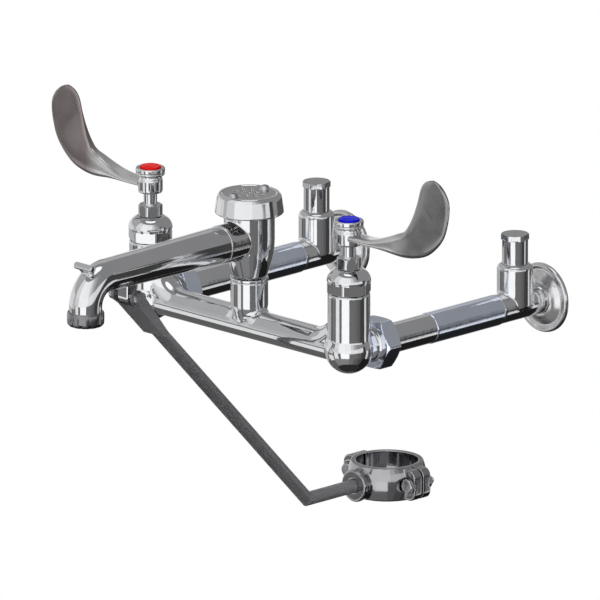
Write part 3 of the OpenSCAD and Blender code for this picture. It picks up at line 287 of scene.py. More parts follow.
class Finishes:
    """Every finish on the faucet, most under the name that the makers of such faucets give it; the
    two paddle finishes hold painted shade.
    """

    chrome = Finish(
        "polished_chrome", "chrome", (0.74, 0.745, 0.76), (0.70, 0.705, 0.72), (0.05, 0.09),
    )
    # The paddle finishes are painted shade: the paddles' colour is darkened far below the chrome's,
    # and warm-tinted on the hot side as a painted reflection. Their near colour is the arms' own
    # chrome.
    hot_paddle_painted_shade = Finish(
        "hot_paddle_chrome_painted_shade", "chrome", (0.31, 0.27, 0.268), (0.275, 0.235, 0.233), (0.20, 0.26),
        ripple=0.00001, near=(0.76, 0.75, 0.75),
    )
    cold_paddle_painted_shade = Finish(
        "cold_paddle_chrome_painted_shade", "chrome", (0.37, 0.362, 0.362), (0.33, 0.325, 0.325), (0.16, 0.22),
        ripple=0.00001, near=(0.76, 0.76, 0.765),
    )
    satin = Finish(
        "satin_pressed_chrome", "chrome", (0.72, 0.72, 0.73), (0.68, 0.68, 0.69), (0.16, 0.22),
    )
    blue_chrome = Finish(
        "bluish_chrome", "satin_chrome", (0.80, 0.86, 0.99), (0.76, 0.82, 0.95), (0.09, 0.14),
    )
    brace = Finish(
        "dark_brace_steel", "brace_steel", (0.25, 0.25, 0.26), (0.20, 0.20, 0.21), (0.38, 0.46),
        metallic=0.7, surface=Surface.BRUSHED, grain=1400.0, stretch=(1.0, 0.35, 0.35),
    )
    clamp = Finish(
        "dark_clamp_metal", "clamp_metal", (0.44, 0.43, 0.45), (0.38, 0.375, 0.39), (0.08, 0.14),
    )
    screw = Finish(
        "plated_screw", "screw_steel", (0.55, 0.55, 0.58), (0.47, 0.47, 0.50), (0.14, 0.24),
    )
    outlet = Finish(
        "dark_outlet_plate", "outlet_metal", (0.28, 0.28, 0.295), (0.22, 0.22, 0.235), (0.16, 0.24),
    )
    dull = Finish(
        "unpolished_chrome", "chrome", (0.62, 0.62, 0.63), (0.56, 0.56, 0.57), (0.45, 0.6),
        metallic=0.3, surface=Surface.MOULDED,
    )
    plated = Finish(
        "plated_vent_brass", "brass", (0.66, 0.63, 0.57), (0.60, 0.57, 0.51), (0.30, 0.42),
        metallic=0.6, surface=Surface.BRUSHED,
    )
    brass = Finish(
        "turned_brass", "brass", (0.78, 0.62, 0.32), (0.68, 0.52, 0.25), (0.18, 0.30),
        surface=Surface.BRUSHED, grain=1600.0, stretch=(1.0, 1.0, 6.0),
    )
    rubber = Finish(
        "moulded_rubber", "rubber", (0.03, 0.03, 0.033), (0.045, 0.045, 0.05), (0.55, 0.75),
        metallic=0.0, surface=Surface.MOULDED,
    )
    ceramic = Finish(
        "ground_ceramic", "ceramic", (0.86, 0.85, 0.80), (0.80, 0.79, 0.74), (0.15, 0.25),
        metallic=0.0, surface=Surface.MOULDED,
    )
    red = Finish(
        "red_index", "hot_red", (0.52, 0.0, 0.0), (0.45, 0.0, 0.0), (0.35, 0.45),
        metallic=0.0, surface=Surface.MOULDED,
    )
    blue = Finish(
        "blue_index", "cold_blue", (0.0, 0.0, 0.42), (0.0, 0.0, 0.34), (0.35, 0.45),
        metallic=0.0, surface=Surface.MOULDED,
    )


def move(x: float = 0.0, y: float = 0.0, z: float = 0.0) -> Matrix:
    """Gives a move in millimetres."""
    return Matrix.Translation((x, y, z))


def at(x: float = 0.0, y: float = 0.0, z: float = 0.0) -> Matrix:
    """Gives the move to a place that is measured from the middle of the valve row."""
    return move(x, ROW_Y + y, z)


def turn(degrees: float, axis: str) -> Matrix:
    """Gives the turn by an angle in degrees round an axis."""
    return Matrix.Rotation(math.radians(degrees), 4, axis)


ALONG_Y = turn(-90, "X")
ALONG_X = turn(90, "Y")


def rounded(corners: list[Triple], closed: bool = False, steps: int = 4) -> list[Pair]:
    """Rounds the corners of an outline.

    Args:
        corners: Two coordinates and the reach of the rounding for each corner.
        closed: Whether the last corner leads back to the first.
        steps: Straight pieces in each rounding.

    Returns:
        The points of the rounded outline.
    """
    points = []
    for i, (x, y, reach) in enumerate(corners):
        at_end = not closed and i in (0, len(corners) - 1)
        if reach <= 0 or at_end:
            points.append((x, y))
            continue
        here = Vector((x, y))
        back = Vector(corners[i - 1][:2]) - here
        ahead = Vector(corners[(i + 1) % len(corners)][:2]) - here
        first = here + back.normalized() * min(reach, 0.49 * back.length)
        last = here + ahead.normalized() * min(reach, 0.49 * ahead.length)
        for k in range(steps + 1):
            t = k / steps
            point = first * (1 - t) ** 2 + here * (2 * t * (1 - t)) + last * t**2
            points.append((point.x, point.y))
    return held(points, closed)


def held(points: list[Pair], closed: bool, near: float = 0.6, long: float = 2.5) -> list[Pair]:
    """Adds a point near both ends of each long straight part, so that it is shaded as straight.

    Args:
        points: The points of an outline.
        closed: Whether the last point leads back to the first.
        near: Distance of the added points from the ends.
        long: Length from which a part counts as long.

    Returns:
        The outline with the added points.
    """
    result = []
    for i, point in enumerate(points):
        result.append(point)
        here, ahead = Vector(point), Vector(points[(i + 1) % len(points)])
        gap = (ahead - here).length
        if gap >= long and (closed or i < len(points) - 1):
            result += [tuple(here.lerp(ahead, near / gap)), tuple(here.lerp(ahead, 1 - near / gap))]
    return result


def arc(centre: Pair, radius: float, start: float, end: float, steps: int = 12) -> list[Triple]:
    """Gives the points of an arc in a form that rounded() takes.

    Args:
        centre: Centre of the arc.
        radius: Radius of the arc.
        start: Angle of the first point in degrees.
        end: Angle of the last point in degrees.
        steps: Straight pieces in the arc.

    Returns:
        The points, each with no rounding.
    """
    angles = [math.radians(start + (end - start) * k / steps) for k in range(steps + 1)]
    x, y = centre
    return [(x + radius * math.cos(a), y + radius * math.sin(a), 0.0) for a in angles]


class Shape:
    """Gathers the closed surfaces of one piece in millimetres and makes its object in metres."""

    def __init__(self) -> None:
        """Starts with nothing in it."""
        self.mesh = bmesh.new()

    def skin(self, rings: list[list[Vector]], closed: bool) -> None:
        """Skins rings of points; a ring of one point ends the surface in that point.

        Args:
            rings: The rings, each with the same number of points or with one.
            closed: Whether the last ring joins the first.
        """
        rows = [[self.mesh.verts.new(point) for point in ring] for ring in rings]
        pairs = list(zip(rows, rows[1:])) + ([(rows[-1], rows[0])] if closed else [])
        for low, high in pairs:
            count = max(len(low), len(high))
            for i in range(count):
                j = (i + 1) % count
                under, over = [[row[k % len(row)] for k in (i, j)] for row in (low, high)]
                corners = list(dict.fromkeys(under + over[::-1]))
                if len(corners) > 2:
                    self.mesh.faces.new(corners)

    def loop(self, radii: list[float], height: float, place: Matrix) -> list[Vector]:
        """Gives points evenly round the Z axis of a place, each at its own radius."""
        spots = [(2 * math.pi * i / len(radii), r) for i, r in enumerate(radii)]
        return [place @ Vector((r * math.cos(a), r * math.sin(a), height)) for a, r in spots]

    def circle(self, radius: float, height: float, place: Matrix, sides: int) -> list[Vector]:
        """Gives a ring of points round the Z axis of a place."""
        return self.loop([radius] * sides, height, place)

    def turned(self, outline: list[Pair], place: Matrix, sides: int = 96) -> None:
        """Turns an outline, from axis to axis or a loop off it, round the Z axis of its place."""
        rings = [self.circle(r, z, place, 1 if r < TINY else sides) for r, z in outline]
        self.skin(rings, closed=outline[0][0] > TINY)

    def lathed(self, corners: list[Triple], place: Matrix, sides: int = 96) -> None:
        """Rounds the corners of an outline as rounded() does, and turns it."""
        self.turned(rounded(corners, closed=corners[0][0] > TINY), place, sides)

    def hexagon(
        self, width: float, height: float, chamfer: float, bore: float, place: Matrix
    ) -> None:
        """Adds a hexagon with a turned chamfer at both ends and a bore.

        Args:
            width: Width across the corners.
            height: Height from the origin of its place upwards.
            chamfer: Depth of the chamfer at a corner.
            bore: Diameter of the bore.
            place: Where it goes; a corner points along its X axis.
        """
        sides, steps, blunt, drop, face_inset = 144, 4, 0.35, 0.6, 0.3
        sixth, reach = math.pi / 3, chamfer * drop
        rise = [reach * k / steps for k in range(steps + 1)]
        face_r = width / 2 - blunt - chamfer - face_inset
        rings = [self.circle(r, 0.0, place, sides) for r in (bore / 2, face_r)]
        for z in rise + [height - z for z in reversed(rise)]:
            limit = width / 2 - blunt - chamfer * max(0.0, 1 - min(z, height - z) / reach)
            radii = []
            for i in range(sides):
                angle = 2 * math.pi * i / sides
                flat = width / 2 * math.cos(sixth / 2) / math.cos(angle % sixth - sixth / 2)
                radii.append(min(flat, limit))
            rings.append(self.loop(radii, z, place))
        rings += [self.circle(r, height, place, sides) for r in (face_r, bore / 2)]
        self.skin(rings, closed=True)

    def piped(self, stations: list[tuple[Vector, Vector, float]], sides: int = 96) -> None:
        """Skins round sections whose directions all stand square to X.

        Args:
            stations: Centre, direction and radius of each section; with a radius of 0 the
                surface ends in a point.
            sides: Number of flats round each section.
        """
        across = Vector((1, 0, 0))
        rings = []
        for centre, way, radius in stations:
            up = way.normalized().cross(across)
            count = 1 if radius < TINY else sides
            angles = [2 * math.pi * i / count for i in range(count)]
            spokes = [across * math.cos(a) + up * math.sin(a) for a in angles]
            rings.append([centre + spoke * radius for spoke in spokes])
        self.skin(rings, closed=stations[0][2] > TINY)

    def pierced(
        self, radius: float, low: float, high: float, holes: list[Triple], place: Matrix
    ) -> None:
        """Adds a round plate with round holes, each with a small countersink on top.

        Args:
            radius: Radius of the plate.
            low: Height of its underside.
            high: Height of its top.
            holes: X, Y and radius of each hole.
            place: Where the plate goes.
        """
        sink, rim_sides, hole_sides = 0.6, 96, 20
        walls = [(0.0, 0.0, rim_sides, [(radius, low), (radius, high)])]
        for x, y, r in holes:
            walls.append((x, y, hole_sides, [(r, low), (r, high - sink), (r + sink, high)]))
        ends: dict[float, list[list[bmesh.types.BMVert]]] = {low: [], high: []}
        for x, y, sides, levels in walls:
            spot = place @ move(x, y)
            loops = [self.circle(r, z, spot, sides) for r, z in levels]
            rings = [[self.mesh.verts.new(point) for point in loop] for loop in loops]
            for under, over in zip(rings, rings[1:]):
                for i in range(sides):
                    self.mesh.faces.new((under[i - 1], under[i], over[i], over[i - 1]))
            ends[low].append(rings[0])
            ends[high].append(rings[-1])
        for rings in ends.values():
            pairs = [(ring[i - 1], ring[i]) for ring in rings for i in range(len(ring))]
            edges = [self.mesh.edges.get(pair) for pair in pairs]
            bmesh.ops.triangle_fill(self.mesh, use_beauty=True, use_dissolve=False, edges=edges)

    def piece(
        self, name: str, finish: Finish, body: str, nodes: tuple[str, ...] = (), sharp: float = 32.0
    ) -> None:
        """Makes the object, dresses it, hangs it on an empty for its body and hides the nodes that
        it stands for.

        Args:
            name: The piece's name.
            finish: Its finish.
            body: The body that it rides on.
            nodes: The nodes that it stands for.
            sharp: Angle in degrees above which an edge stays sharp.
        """
        bmesh.ops.scale(self.mesh, vec=(MM, MM, MM), verts=self.mesh.verts)
        bmesh.ops.recalc_face_normals(self.mesh, faces=self.mesh.faces)
        for face in self.mesh.faces:
            face.smooth = True
        for edge in self.mesh.edges:
            edge.smooth = edge.calc_face_angle(0.0) < math.radians(sharp)
        data = bpy.data.meshes.new(name)
        self.mesh.to_mesh(data)
        self.mesh.free()
        data.materials.append(finish.material())
        thing = bpy.data.objects.new(name, data)
        bpy.context.scene.collection.objects.link(thing)
        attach(thing, body)
        if nodes:
            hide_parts(*nodes)
        log.info("%s rides on %s", name, body)


def dress(node: str, finish: Finish) -> bpy.types.Object:
    """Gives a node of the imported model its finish.

    Args:
        node: The node's name.
        finish: The finish to use.

    Returns:
        The node's object.
    """
    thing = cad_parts[node]
    thing.data.materials.clear()
    thing.data.materials.append(finish.material())
    return thing


def cast(node: str, finish: Finish, grain: float, passes: int) -> None:
    """Dresses a node as a polished casting, whose inner and outer corners are softly rounded.

    Args:
        node: The node's name.
        finish: The finish to use.
        grain: Size in millimetres of the skin's cells.
        passes: How often the skin is smoothed.
    """
    thing = dress(node, finish)
    skin = thing.modifiers.new("cast_skin", "REMESH")
    skin.mode = "VOXEL"
    skin.voxel_size = grain * MM
    skin.use_smooth_shade = True
    soft = thing.modifiers.new("polish", "SMOOTH")
    soft.factor = 0.5
    soft.iterations = passes
    log.info("%s has a cast skin", node)


@dataclass
class Studio:
    """Floor, lights, reflecting panels and the camera at the photograph's angle.

    Sizes are in metres here. Each lamp has its azimuth, elevation, distance, size and power. Each
    panel has its first and last azimuth and elevation in degrees, and the grey level of each of
    the strips that it is divided into.
    """

    aim: Triple = (0.0259, -0.1741, 0.0171)
    azimuth: float = 45.0
    elevation: float = 15.6
    distance: float = 19.28
    lens: float = 1600.0
    floor_y: float = -0.17
    floor_z: float = -0.62
    floor_radius: float = 1.3
    floor_grey: float = 0.86
    floor_roughness: float = 0.8
    floor_glow: float = 0.6
    floor_fade: float = 0.4
    floor_sides: int = 96
    clip: Pair = (1.0, 60.0)
    panel_radius: float = 12.0
    ambience: float = 0.55
    panel_step: float = 3.0
    lamps_at: tuple[tuple[str, float, float, float, float, float], ...] = (
        ("key_lamp", 8.0, 38.0, 1.9, 0.7, 26.0),
        ("fill_lamp", 100.0, 30.0, 2.2, 0.9, 14.0),
        ("back_lamp", 215.0, 45.0, 2.1, 0.8, 16.0),
    )
    panels: tuple[tuple[str, Pair, Pair, tuple[float, ...]], ...] = (
        ("top_softbox", (-180, 180), (74, 90), (1.4,)),
        ("high_ceiling", (-180, 180), (55, 74), (0.29,)),
        ("back_low_ceiling", (-150, -120), (12, 22), (0.3,)),
        ("back_ceiling", (-150, -120), (22, 55), (0.5,)),
        ("left_ceiling", (-120, -38), (12, 55), (0.5,)),
        ("front_ceiling", (-38, 55), (12, 55), (0.9, 1.15, 1.1)),
        ("side_ceiling", (55, 97), (12, 55), (0.8, 0.5, 0.33)),
        ("right_ceiling", (97, 210), (12, 55), (0.29,)),
        ("left_skirting", (-150, -52), (-6, 12), (0.85,)),
        ("left_low_skirting", (-52, -38), (-6, 12), (0.55,)),
        ("front_skirting", (-38, 55), (-6, 12), (0.8, 1.15, 1.15)),
        ("side_skirting", (55, 118), (-6, 12), (1.0, 0.9)),
        ("side_dark_flag", (118, 133), (-6, 12), (0.06,)),
        ("right_skirting", (133, 210), (-6, 12), (0.29,)),
        ("left_pale_strip", (-150, -66), (-13, -6), (0.9,)),
        ("left_pale_panel", (-150, -66), (-30, -13), (0.52,)),
        ("left_upper_strip", (-66, -38), (-13, -6), (0.7,)),
        ("left_grey_panel", (-66, -38), (-18.5, -13), (0.15, 0.15, 0.22, 0.2)),
        ("left_lower_softbox", (-66, -38), (-36, -18.5), (0.95,)),
        ("left_edge_panel", (-38, -30), (-30, -6), (0.19,)),
        ("left_softbox", (-30, -8), (-30, -6), (1.0,)),
        ("front_grey_panel", (-8, 6), (-30, -6), (0.17,)),
        ("front_softbox", (6, 47), (-30, -6), (1.3,)),
        ("right_grey_panel", (47, 108), (-30, -6), (0.19, 0.19, 0.17, 0.13)),
        ("right_dark_flag", (108, 136.5), (-30, -6), (0.06,)),
        ("right_softbox", (136.5, 150), (-30, -6), (0.85,)),
        ("back_dark_flag", (150, 210), (-30, -6), (0.10,)),
        ("low_left_panel", (-150, -66), (-60, -30), (0.14,)),
        ("low_strip", (-66, -38), (-60, -36), (0.14,)),
        ("low_front_panel", (-38, 45), (-60, -30), (0.27,)),
        ("low_right_panel", (45, 120), (-60, -30), (0.2, 0.13, 0.08)),
        ("low_dark_flag", (120, 210), (-60, -30), (0.015,)),
        ("bottom_dark_flag", (-180, 180), (-90, -60), (0.03,)),
    )

    def build(self) -> None:
        """Makes the camera, the world, the floor, the lamps and the panels."""
        self.camera()
        self.world()
        self.floor()
        self.lamps()
        self.surround()

    def direction(self, azimuth: float, elevation: float) -> Vector:
        """Gives the unit vector towards an azimuth, with 0 at -Y and 90 at +X, and an elevation."""
        a, e = math.radians(azimuth), math.radians(elevation)
        return Vector((math.sin(a) * math.cos(e), -math.cos(a) * math.cos(e), math.sin(e)))

    def hang(
        self, name: str, data: bpy.types.ID, azimuth: float, elevation: float, distance: float
    ) -> bpy.types.Object:
        """Puts a camera or a lamp round the aim point, so that it looks there.

        Args:
            name: The object's name.
            data: The camera or the light.
            azimuth: Azimuth in degrees.
            elevation: Elevation in degrees.
            distance: Distance from the aim point in metres.

        Returns:
            The object.
        """
        way = self.direction(azimuth, elevation)
        thing = bpy.data.objects.new(name, data)
        thing.location = Vector(self.aim) + way * distance
        thing.rotation_mode = "QUATERNION"
        thing.rotation_quaternion = way.to_track_quat("Z", "Y")
        bpy.context.scene.collection.objects.link(thing)
        return thing

    def camera(self) -> None:
        """Places the camera on the side of the cold valve, a little above level."""
        data = bpy.data.cameras.new("camera")
        data.lens = self.lens
        data.clip_start, data.clip_end = self.clip
        thing = self.hang("camera", data, self.azimuth, self.elevation, self.distance)
        bpy.context.scene.camera = thing
        bpy.context.scene.view_settings.view_transform = "Standard"

    def world(self) -> None:
        """Makes a white surround for the camera and for reflections, and a softer one for light."""
        world = bpy.data.worlds.new("studio_world")
        bpy.context.scene.world = world
        nodes = NodeWriter(world)
        rays = nodes.add("ShaderNodeLightPath").outputs
        seen = nodes.maths("MAXIMUM", rays["Is Camera Ray"], rays["Is Glossy Ray"])
        seen = nodes.maths("MAXIMUM", seen, rays["Is Transmission Ray"])
        soft, white = [
            nodes.add("ShaderNodeBackground", {"Color": WHITE, "Strength": strength}).outputs[0]
            for strength in (self.ambience, 1.0)
        ]
        mix = nodes.add("ShaderNodeMixShader", {"Fac": seen, 1: soft, 2: white})
        nodes.add("ShaderNodeOutputWorld", {"Surface": mix.outputs[0]})

    def floor(self) -> None:
        """Makes a plain pale disc well below the faucet, which fades out towards its rim."""
        mesh = bpy.data.meshes.new("floor")
        shape = bmesh.new()
        radius, sides, grey = self.floor_radius, self.floor_sides, self.floor_grey
        bmesh.ops.create_circle(shape, cap_ends=True, radius=radius, segments=sides)
        shape.to_mesh(mesh)
        shape.free()
        thing = bpy.data.objects.new("floor", mesh)
        thing.location = (0, self.floor_y, self.floor_z)
        thing.visible_glossy = False
        bpy.context.scene.collection.objects.link(thing)
        material = bpy.data.materials.new("pale_floor")
        nodes = SurfaceWriter(material)
        nodes.shader.inputs["Base Color"].default_value = (grey, grey, grey, 1)
        nodes.shader.inputs["Roughness"].default_value = self.floor_roughness
        rays = nodes.add("ShaderNodeLightPath").outputs
        inputs = {
            "Fac": nodes.maths("MULTIPLY", rays["Is Camera Ray"], self.floor_glow),
            1: nodes.shader.outputs["BSDF"],
            2: nodes.add("ShaderNodeEmission", {"Color": WHITE}).outputs[0],
        }
        pale = nodes.add("ShaderNodeMixShader", inputs).outputs[0]
        inputs = {"Scale": (1 / radius,) * 3, "Vector": nodes.place}
        place = nodes.add("ShaderNodeMapping", inputs).outputs["Vector"]
        gradient = nodes.add("ShaderNodeTexGradient", {"Vector": place})
        gradient.gradient_type = "SPHERICAL"
        fade = nodes.spread(gradient.outputs["Fac"], 0.0, 1.0, (0.0, self.floor_fade))
        clear = nodes.add("ShaderNodeBsdfTransparent").outputs[0]
        final = nodes.add("ShaderNodeMixShader", {"Fac": fade, 1: clear, 2: pale})
        nodes.link(final.outputs[0], nodes.output.inputs["Surface"])
        mesh.materials.append(material)

    def lamps(self) -> None:
        """Hangs three soft lamps, which the polished surfaces don't reflect."""
        for name, azimuth, elevation, distance, size, power in self.lamps_at:
            data = bpy.data.lights.new(name, "AREA")
            data.shape = "DISK"
            data.size = size
            data.energy = power
            thing = self.hang(name, data, azimuth, elevation, distance)
            thing.visible_camera = False
            thing.visible_glossy = False

    def surround(self) -> None:
        """Hangs the panels round the faucet, which only its polished surfaces reflect."""
        for name, (first, last), elevations, shades in self.panels:
            step = (last - first) / len(shades)
            for k, shade in enumerate(shades):
                azimuths = (first + step * k, first + step * (k + 1))
                thing = self.panel(f"{name}_{k}", azimuths, elevations, shade)
                thing.visible_camera = False
                thing.visible_diffuse = False
                thing.visible_shadow = False
                thing.visible_transmission = False

    def panel(
        self, name: str, azimuths: Pair, elevations: Pair, shade: float
    ) -> bpy.types.Object:
        """Makes one panel as a patch of a sphere round the aim point.

        Args:
            name: The panel's name.
            azimuths: First and last azimuth in degrees.
            elevations: First and last elevation in degrees.
            shade: Its grey level.

        Returns:
            The panel's object.
        """
        (first, last), (low, high) = azimuths, elevations
        columns = max(2, int((last - first) / self.panel_step))
        rows = max(2, int((high - low) / self.panel_step))
        shape = bmesh.new()
        grid, aim = [], Vector(self.aim)
        for j in range(rows + 1):
            elevation = low + (high - low) * j / rows
            ways = [
                self.direction(first + (last - first) * i / columns, elevation)
                for i in range(columns + 1)
            ]
            grid.append([shape.verts.new(aim + self.panel_radius * way) for way in ways])
        for j in range(rows):
            for i in range(columns):
                shape.faces.new((grid[j][i], grid[j][i + 1], grid[j + 1][i + 1], grid[j + 1][i]))
        mesh = bpy.data.meshes.new(name)
        shape.to_mesh(mesh)
        shape.free()
        material = bpy.data.materials.new(name)
        nodes = NodeWriter(material)
        glow = nodes.add("ShaderNodeEmission", {"Color": (shade, shade, shade, 1)})
        nodes.add("ShaderNodeOutputMaterial", {"Surface": glow.outputs[0]})
        mesh.materials.append(material)
        thing = bpy.data.objects.new(name, mesh)
        bpy.context.scene.collection.objects.link(thing)
        return thing


@dataclass
class Casting:
    """The body casting between the valves, with its bar, columns and hub."""

    cell: float = 0.8
    passes: int = 8

    def build(self) -> None:
        """Dresses the casting."""
        cast("faucet_body", Finishes.chrome, self.cell, self.passes)


@dataclass
class BladeHandle:
    """One wrist-blade handle: blade, hub, collar and the coloured index button.

    Each station of the blade has the place of its lower and of its upper edge, outwards and up
    from the hub's foot, and its share of the way from the paddle's thickness to the root's width.
    """

    side: Side
    hub_z: float = 78.5
    hub_d: float = 18.0
    hub_h: float = 13.0
    neck_d: float = 16.6
    collar_d: float = 21.4
    collar_h: float = 5.7
    stem_hole_d: float = 10.0
    button_d: float = 15.3
    button_rise: float = 1.8
    root_w: float = 15.0
    paddle_t: float = 3.2
    steps: int = 8
    sides: int = 48
    square: float = 0.6
    stations: tuple[tuple[Pair, Pair, float], ...] = (
        ((6, 4), (6, 9), 1), ((20, 4), (20, 9), 1), ((31, 3.8), (30, 10.6), 0.9),
        ((40, 3.2), (40, 14), 0.78), ((49, 2.2), (49.6, 18), 0.66), ((58, 1.8), (58, 21.7), 0.5),
        ((68, 3.1), (62.5, 27.5), 0.36), ((79, 6.8), (66, 34.5), 0.24),
        ((89, 14.4), (68.6, 41.5), 0.1), ((96.2, 23.5), (70.8, 48.5), 0),
        ((99.8, 33.7), (72.4, 54.2), 0), ((101.5, 43.5), (74.3, 58.2), 0),
        ((100.8, 51), (77, 61.2), 0), ((97.4, 57), (80.6, 63.2), 0),
        ((93.4, 60.6), (84.6, 64.2), 0),
    )

    def build(self) -> None:
        """Builds the handle and its button and dresses the screw under the button."""
        word = self.side.word
        body = f"{word}_valve_handle"
        place = at(self.side.x)
        handle = Shape()
        self.blade(handle, place @ turn(180 if self.side is Side.HOT else 0, "Z"))
        # The paddle finish holds painted shade: the paddle is darker than the chrome near the hub.
        finish = Finishes.hot_paddle_painted_shade if self.side is Side.HOT else Finishes.cold_paddle_painted_shade
        handle.piece(f"{word}_blade_handle", finish, body, (f"{word}_handle",))
        hub = Shape()
        self.hub(hub, place)
        self.collar(hub, place)
        hub.piece(f"{word}_handle_hub", Finishes.chrome, body)
        button = Shape()
        self.button(button, place)
        colour = Finishes.red if self.side is Side.HOT else Finishes.blue
        button.piece(f"{word}_button", colour, body, (f"{word}_index_button",))
        dress(f"{word}_handle_screw", Finishes.brass)

    def curve(self, part: int, k: int, t: float) -> Vector | float:
        """Gives a station value between two stations on a smooth curve.

        Args:
            part: 0 for the lower edge, 1 for the upper edge, 2 for the width.
            k: The station before.
            t: Share of the way to the next one.

        Returns:
            The edge's point, or the width's share.
        """
        last = len(self.stations) - 1
        values = [self.stations[min(max(k + i, 0), last)][part] for i in (-1, 0, 1, 2)]
        a, b, c, d = [Vector(v) if part < 2 else float(v) for v in values]
        bend, sweep = a * 2 - b * 5 + c * 4 - d, b * 3 - a - c * 3 + d
        return (b * 2 + (c - a) * t + bend * t**2 + sweep * t**3) * 0.5

    def blade(self, shape: Shape, place: Matrix) -> None:
        """Lofts the blade through its stations, with a rounded tip.

        Args:
            shape: The shape that it goes into.
            place: The valve's axis at height 0.
        """
        count = len(self.stations) - 1
        spots = [(k, s / self.steps) for k in range(count) for s in range(self.steps)]
        spots.append((count - 1, 1.0))
        angles = [2 * math.pi * i / self.sides for i in range(self.sides)]
        rings = [[self.point(spots[0], 0.0, 0.0, place)]]
        rings += [[self.point(spot, a, 1.0, place) for a in angles] for spot in spots]
        rings.append([self.point(spots[-1], a, 0.7, place, 0.5) for a in angles])
        rings.append([self.point(spots[-1], 0.0, 0.0, place, 0.8)])
        shape.skin(rings, closed=False)

    def point(
        self, spot: tuple[int, float], angle: float, share: float, place: Matrix,
        beyond: float = 0.0,
    ) -> Vector:
        """Gives one point of a blade section.

        Args:
            spot: Station and share of the way to the next one.
            angle: Angle round the section.
            share: Size of the section against its full size.
            place: Where the blade goes.
            beyond: How far the point stands out past the section, towards the tip.

        Returns:
            The point.
        """
        low, high = self.curve(0, *spot), self.curve(1, *spot)
        wide = self.paddle_t + (self.root_w - self.paddle_t) * max(self.curve(2, *spot), 0.0)
        middle, half = (low + high) / 2, (high - low) / 2
        u, v = [
            math.copysign(abs(wave) ** self.square, wave) * share
            for wave in (math.sin(angle), math.cos(angle))
        ]
        out = Vector((half.y, -half.x)).normalized() * beyond
        spot_xz = middle + half * u + out
        return place @ Vector((spot_xz.x, wide / 2 * v, self.hub_z + spot_xz.y))

    def hub(self, shape: Shape, place: Matrix) -> None:
        """Turns the hub, with rounded rims and a shallow neck under the collar.

        Args:
            shape: The shape that it goes into.
            place: The valve's axis at height 0.
        """
        r, bore, neck = self.hub_d / 2, self.stem_hole_d / 2, self.neck_d / 2
        low, top = self.hub_z, self.hub_z + self.hub_h
        shape.lathed([
            (bore, low, 0), (r - 0.4, low, 0.9), (r, low + 1.6, 0.8), (r, top - 3.4, 1.2),
            (neck, top - 1.6, 0.8), (neck, top + 0.5, 0), (bore, top + 0.5, 0),
        ], place)

    def collar(self, shape: Shape, place: Matrix) -> None:
        """Turns the collar round the button, as a rim with a groove below its middle.

        Args:
            shape: The shape that it goes into.
            place: The valve's axis at height 0.
        """
        r, inner, bore = self.collar_d / 2, self.button_d / 2 + 0.05, self.neck_d / 2 - 1.5
        low, top = self.hub_z + self.hub_h, self.hub_z + self.hub_h + self.collar_h
        shape.lathed([
            (bore, low, 0), (r - 0.3, low, 0.7), (r, low + 1.6, 0.5), (r - 0.45, low + 2.1, 0.3),
            (r, low + 2.6, 0.5), (r, top, 0.8), (inner + 0.4, top, 0.4), (inner, top - 3.0, 0.2),
            (bore, top - 3.0, 0),
        ], place)

    def button(self, shape: Shape, place: Matrix) -> None:
        """Turns the index button, with a crowned top inside a small rim.

        Args:
            shape: The shape that it goes into.
            place: The valve's axis at height 0.
        """
        r = self.button_d / 2
        top = self.hub_z + self.hub_h + self.collar_h + self.button_rise
        low = top - self.button_rise - 2.9
        shape.lathed([
            (0, low, 0), (r, low, 0.4), (r, top - 0.7, 0.8), (r - 1.5, top - 0.5, 0.5),
            (r - 2.3, top - 0.9, 0.5), (r - 4.4, top - 0.35, 1.6), (0, top - 0.2, 0),
        ], place)


@dataclass
class Valve:
    """One valve above its column: bonnet, packing nut, stem and the parts inside."""

    side: Side
    column_top: float = 43.0
    hex_h: float = 8.6
    bonnet_w: float = 33.2
    bonnet_chamfer: float = 1.3
    dome_h: float = 8.9
    dome_top_r: float = 9.5
    packing_w: float = 18.7
    packing_z: float = 61.0
    packing_h: float = 8.5
    packing_chamfer: float = 1.1
    stem_d: float = 9.8
    hot_spin: float = 30.0

    def build(self) -> None:
        """Builds the bonnet and the packing nut and dresses the rest."""
        word, x = self.side.word, self.side.x
        spin = self.hot_spin if self.side is Side.HOT else 0.0
        place = at(x, 0, self.column_top) @ turn(spin, "Z")
        bonnet = Shape()
        bonnet.hexagon(self.bonnet_w, self.hex_h, self.bonnet_chamfer, self.stem_d + 4, place)
        self.dome(bonnet, at(x, 0, self.column_top + self.hex_h))
        bonnet.piece(f"{word}_bonnet_shell", Finishes.chrome, "body", (f"{word}_bonnet",))
        nut = Shape()
        place = at(x, 0, self.packing_z)
        nut.hexagon(self.packing_w, self.packing_h, self.packing_chamfer, self.stem_d + 0.1, place)
        nut.piece(f"{word}_gland_nut", Finishes.chrome, "body", (f"{word}_packing_nut",))
        dress(f"{word}_stem", Finishes.chrome)
        dress(f"{word}_cartridge", Finishes.brass)
        dress(f"{word}_moving_disc", Finishes.ceramic)

    def dome(self, shape: Shape, place: Matrix) -> None:
        """Turns the dome on the bonnet, with a small step above the hexagon.

        Args:
            shape: The bonnet's shape.
            place: The middle of the hexagon's top.
        """
        rim, bore, top = self.bonnet_w / 2 - 0.5, self.stem_d / 2, self.dome_h + 0.3
        drop = rim - self.dome_top_r
        radius = (drop**2 + self.dome_h**2) / (2 * drop)
        end = math.degrees(math.asin(self.dome_h / radius))
        shape.lathed([
            (bore, -1.0, 0), (rim - 0.4, -1.0, 0), (rim - 0.4, 0.0, 0), (rim, 0.3, 0.2),
            *arc((rim - radius, 0.4), radius, 4, end, 14),
            (self.dome_top_r - 0.6, top, 0.4), (bore, top, 0.3),
        ], place)


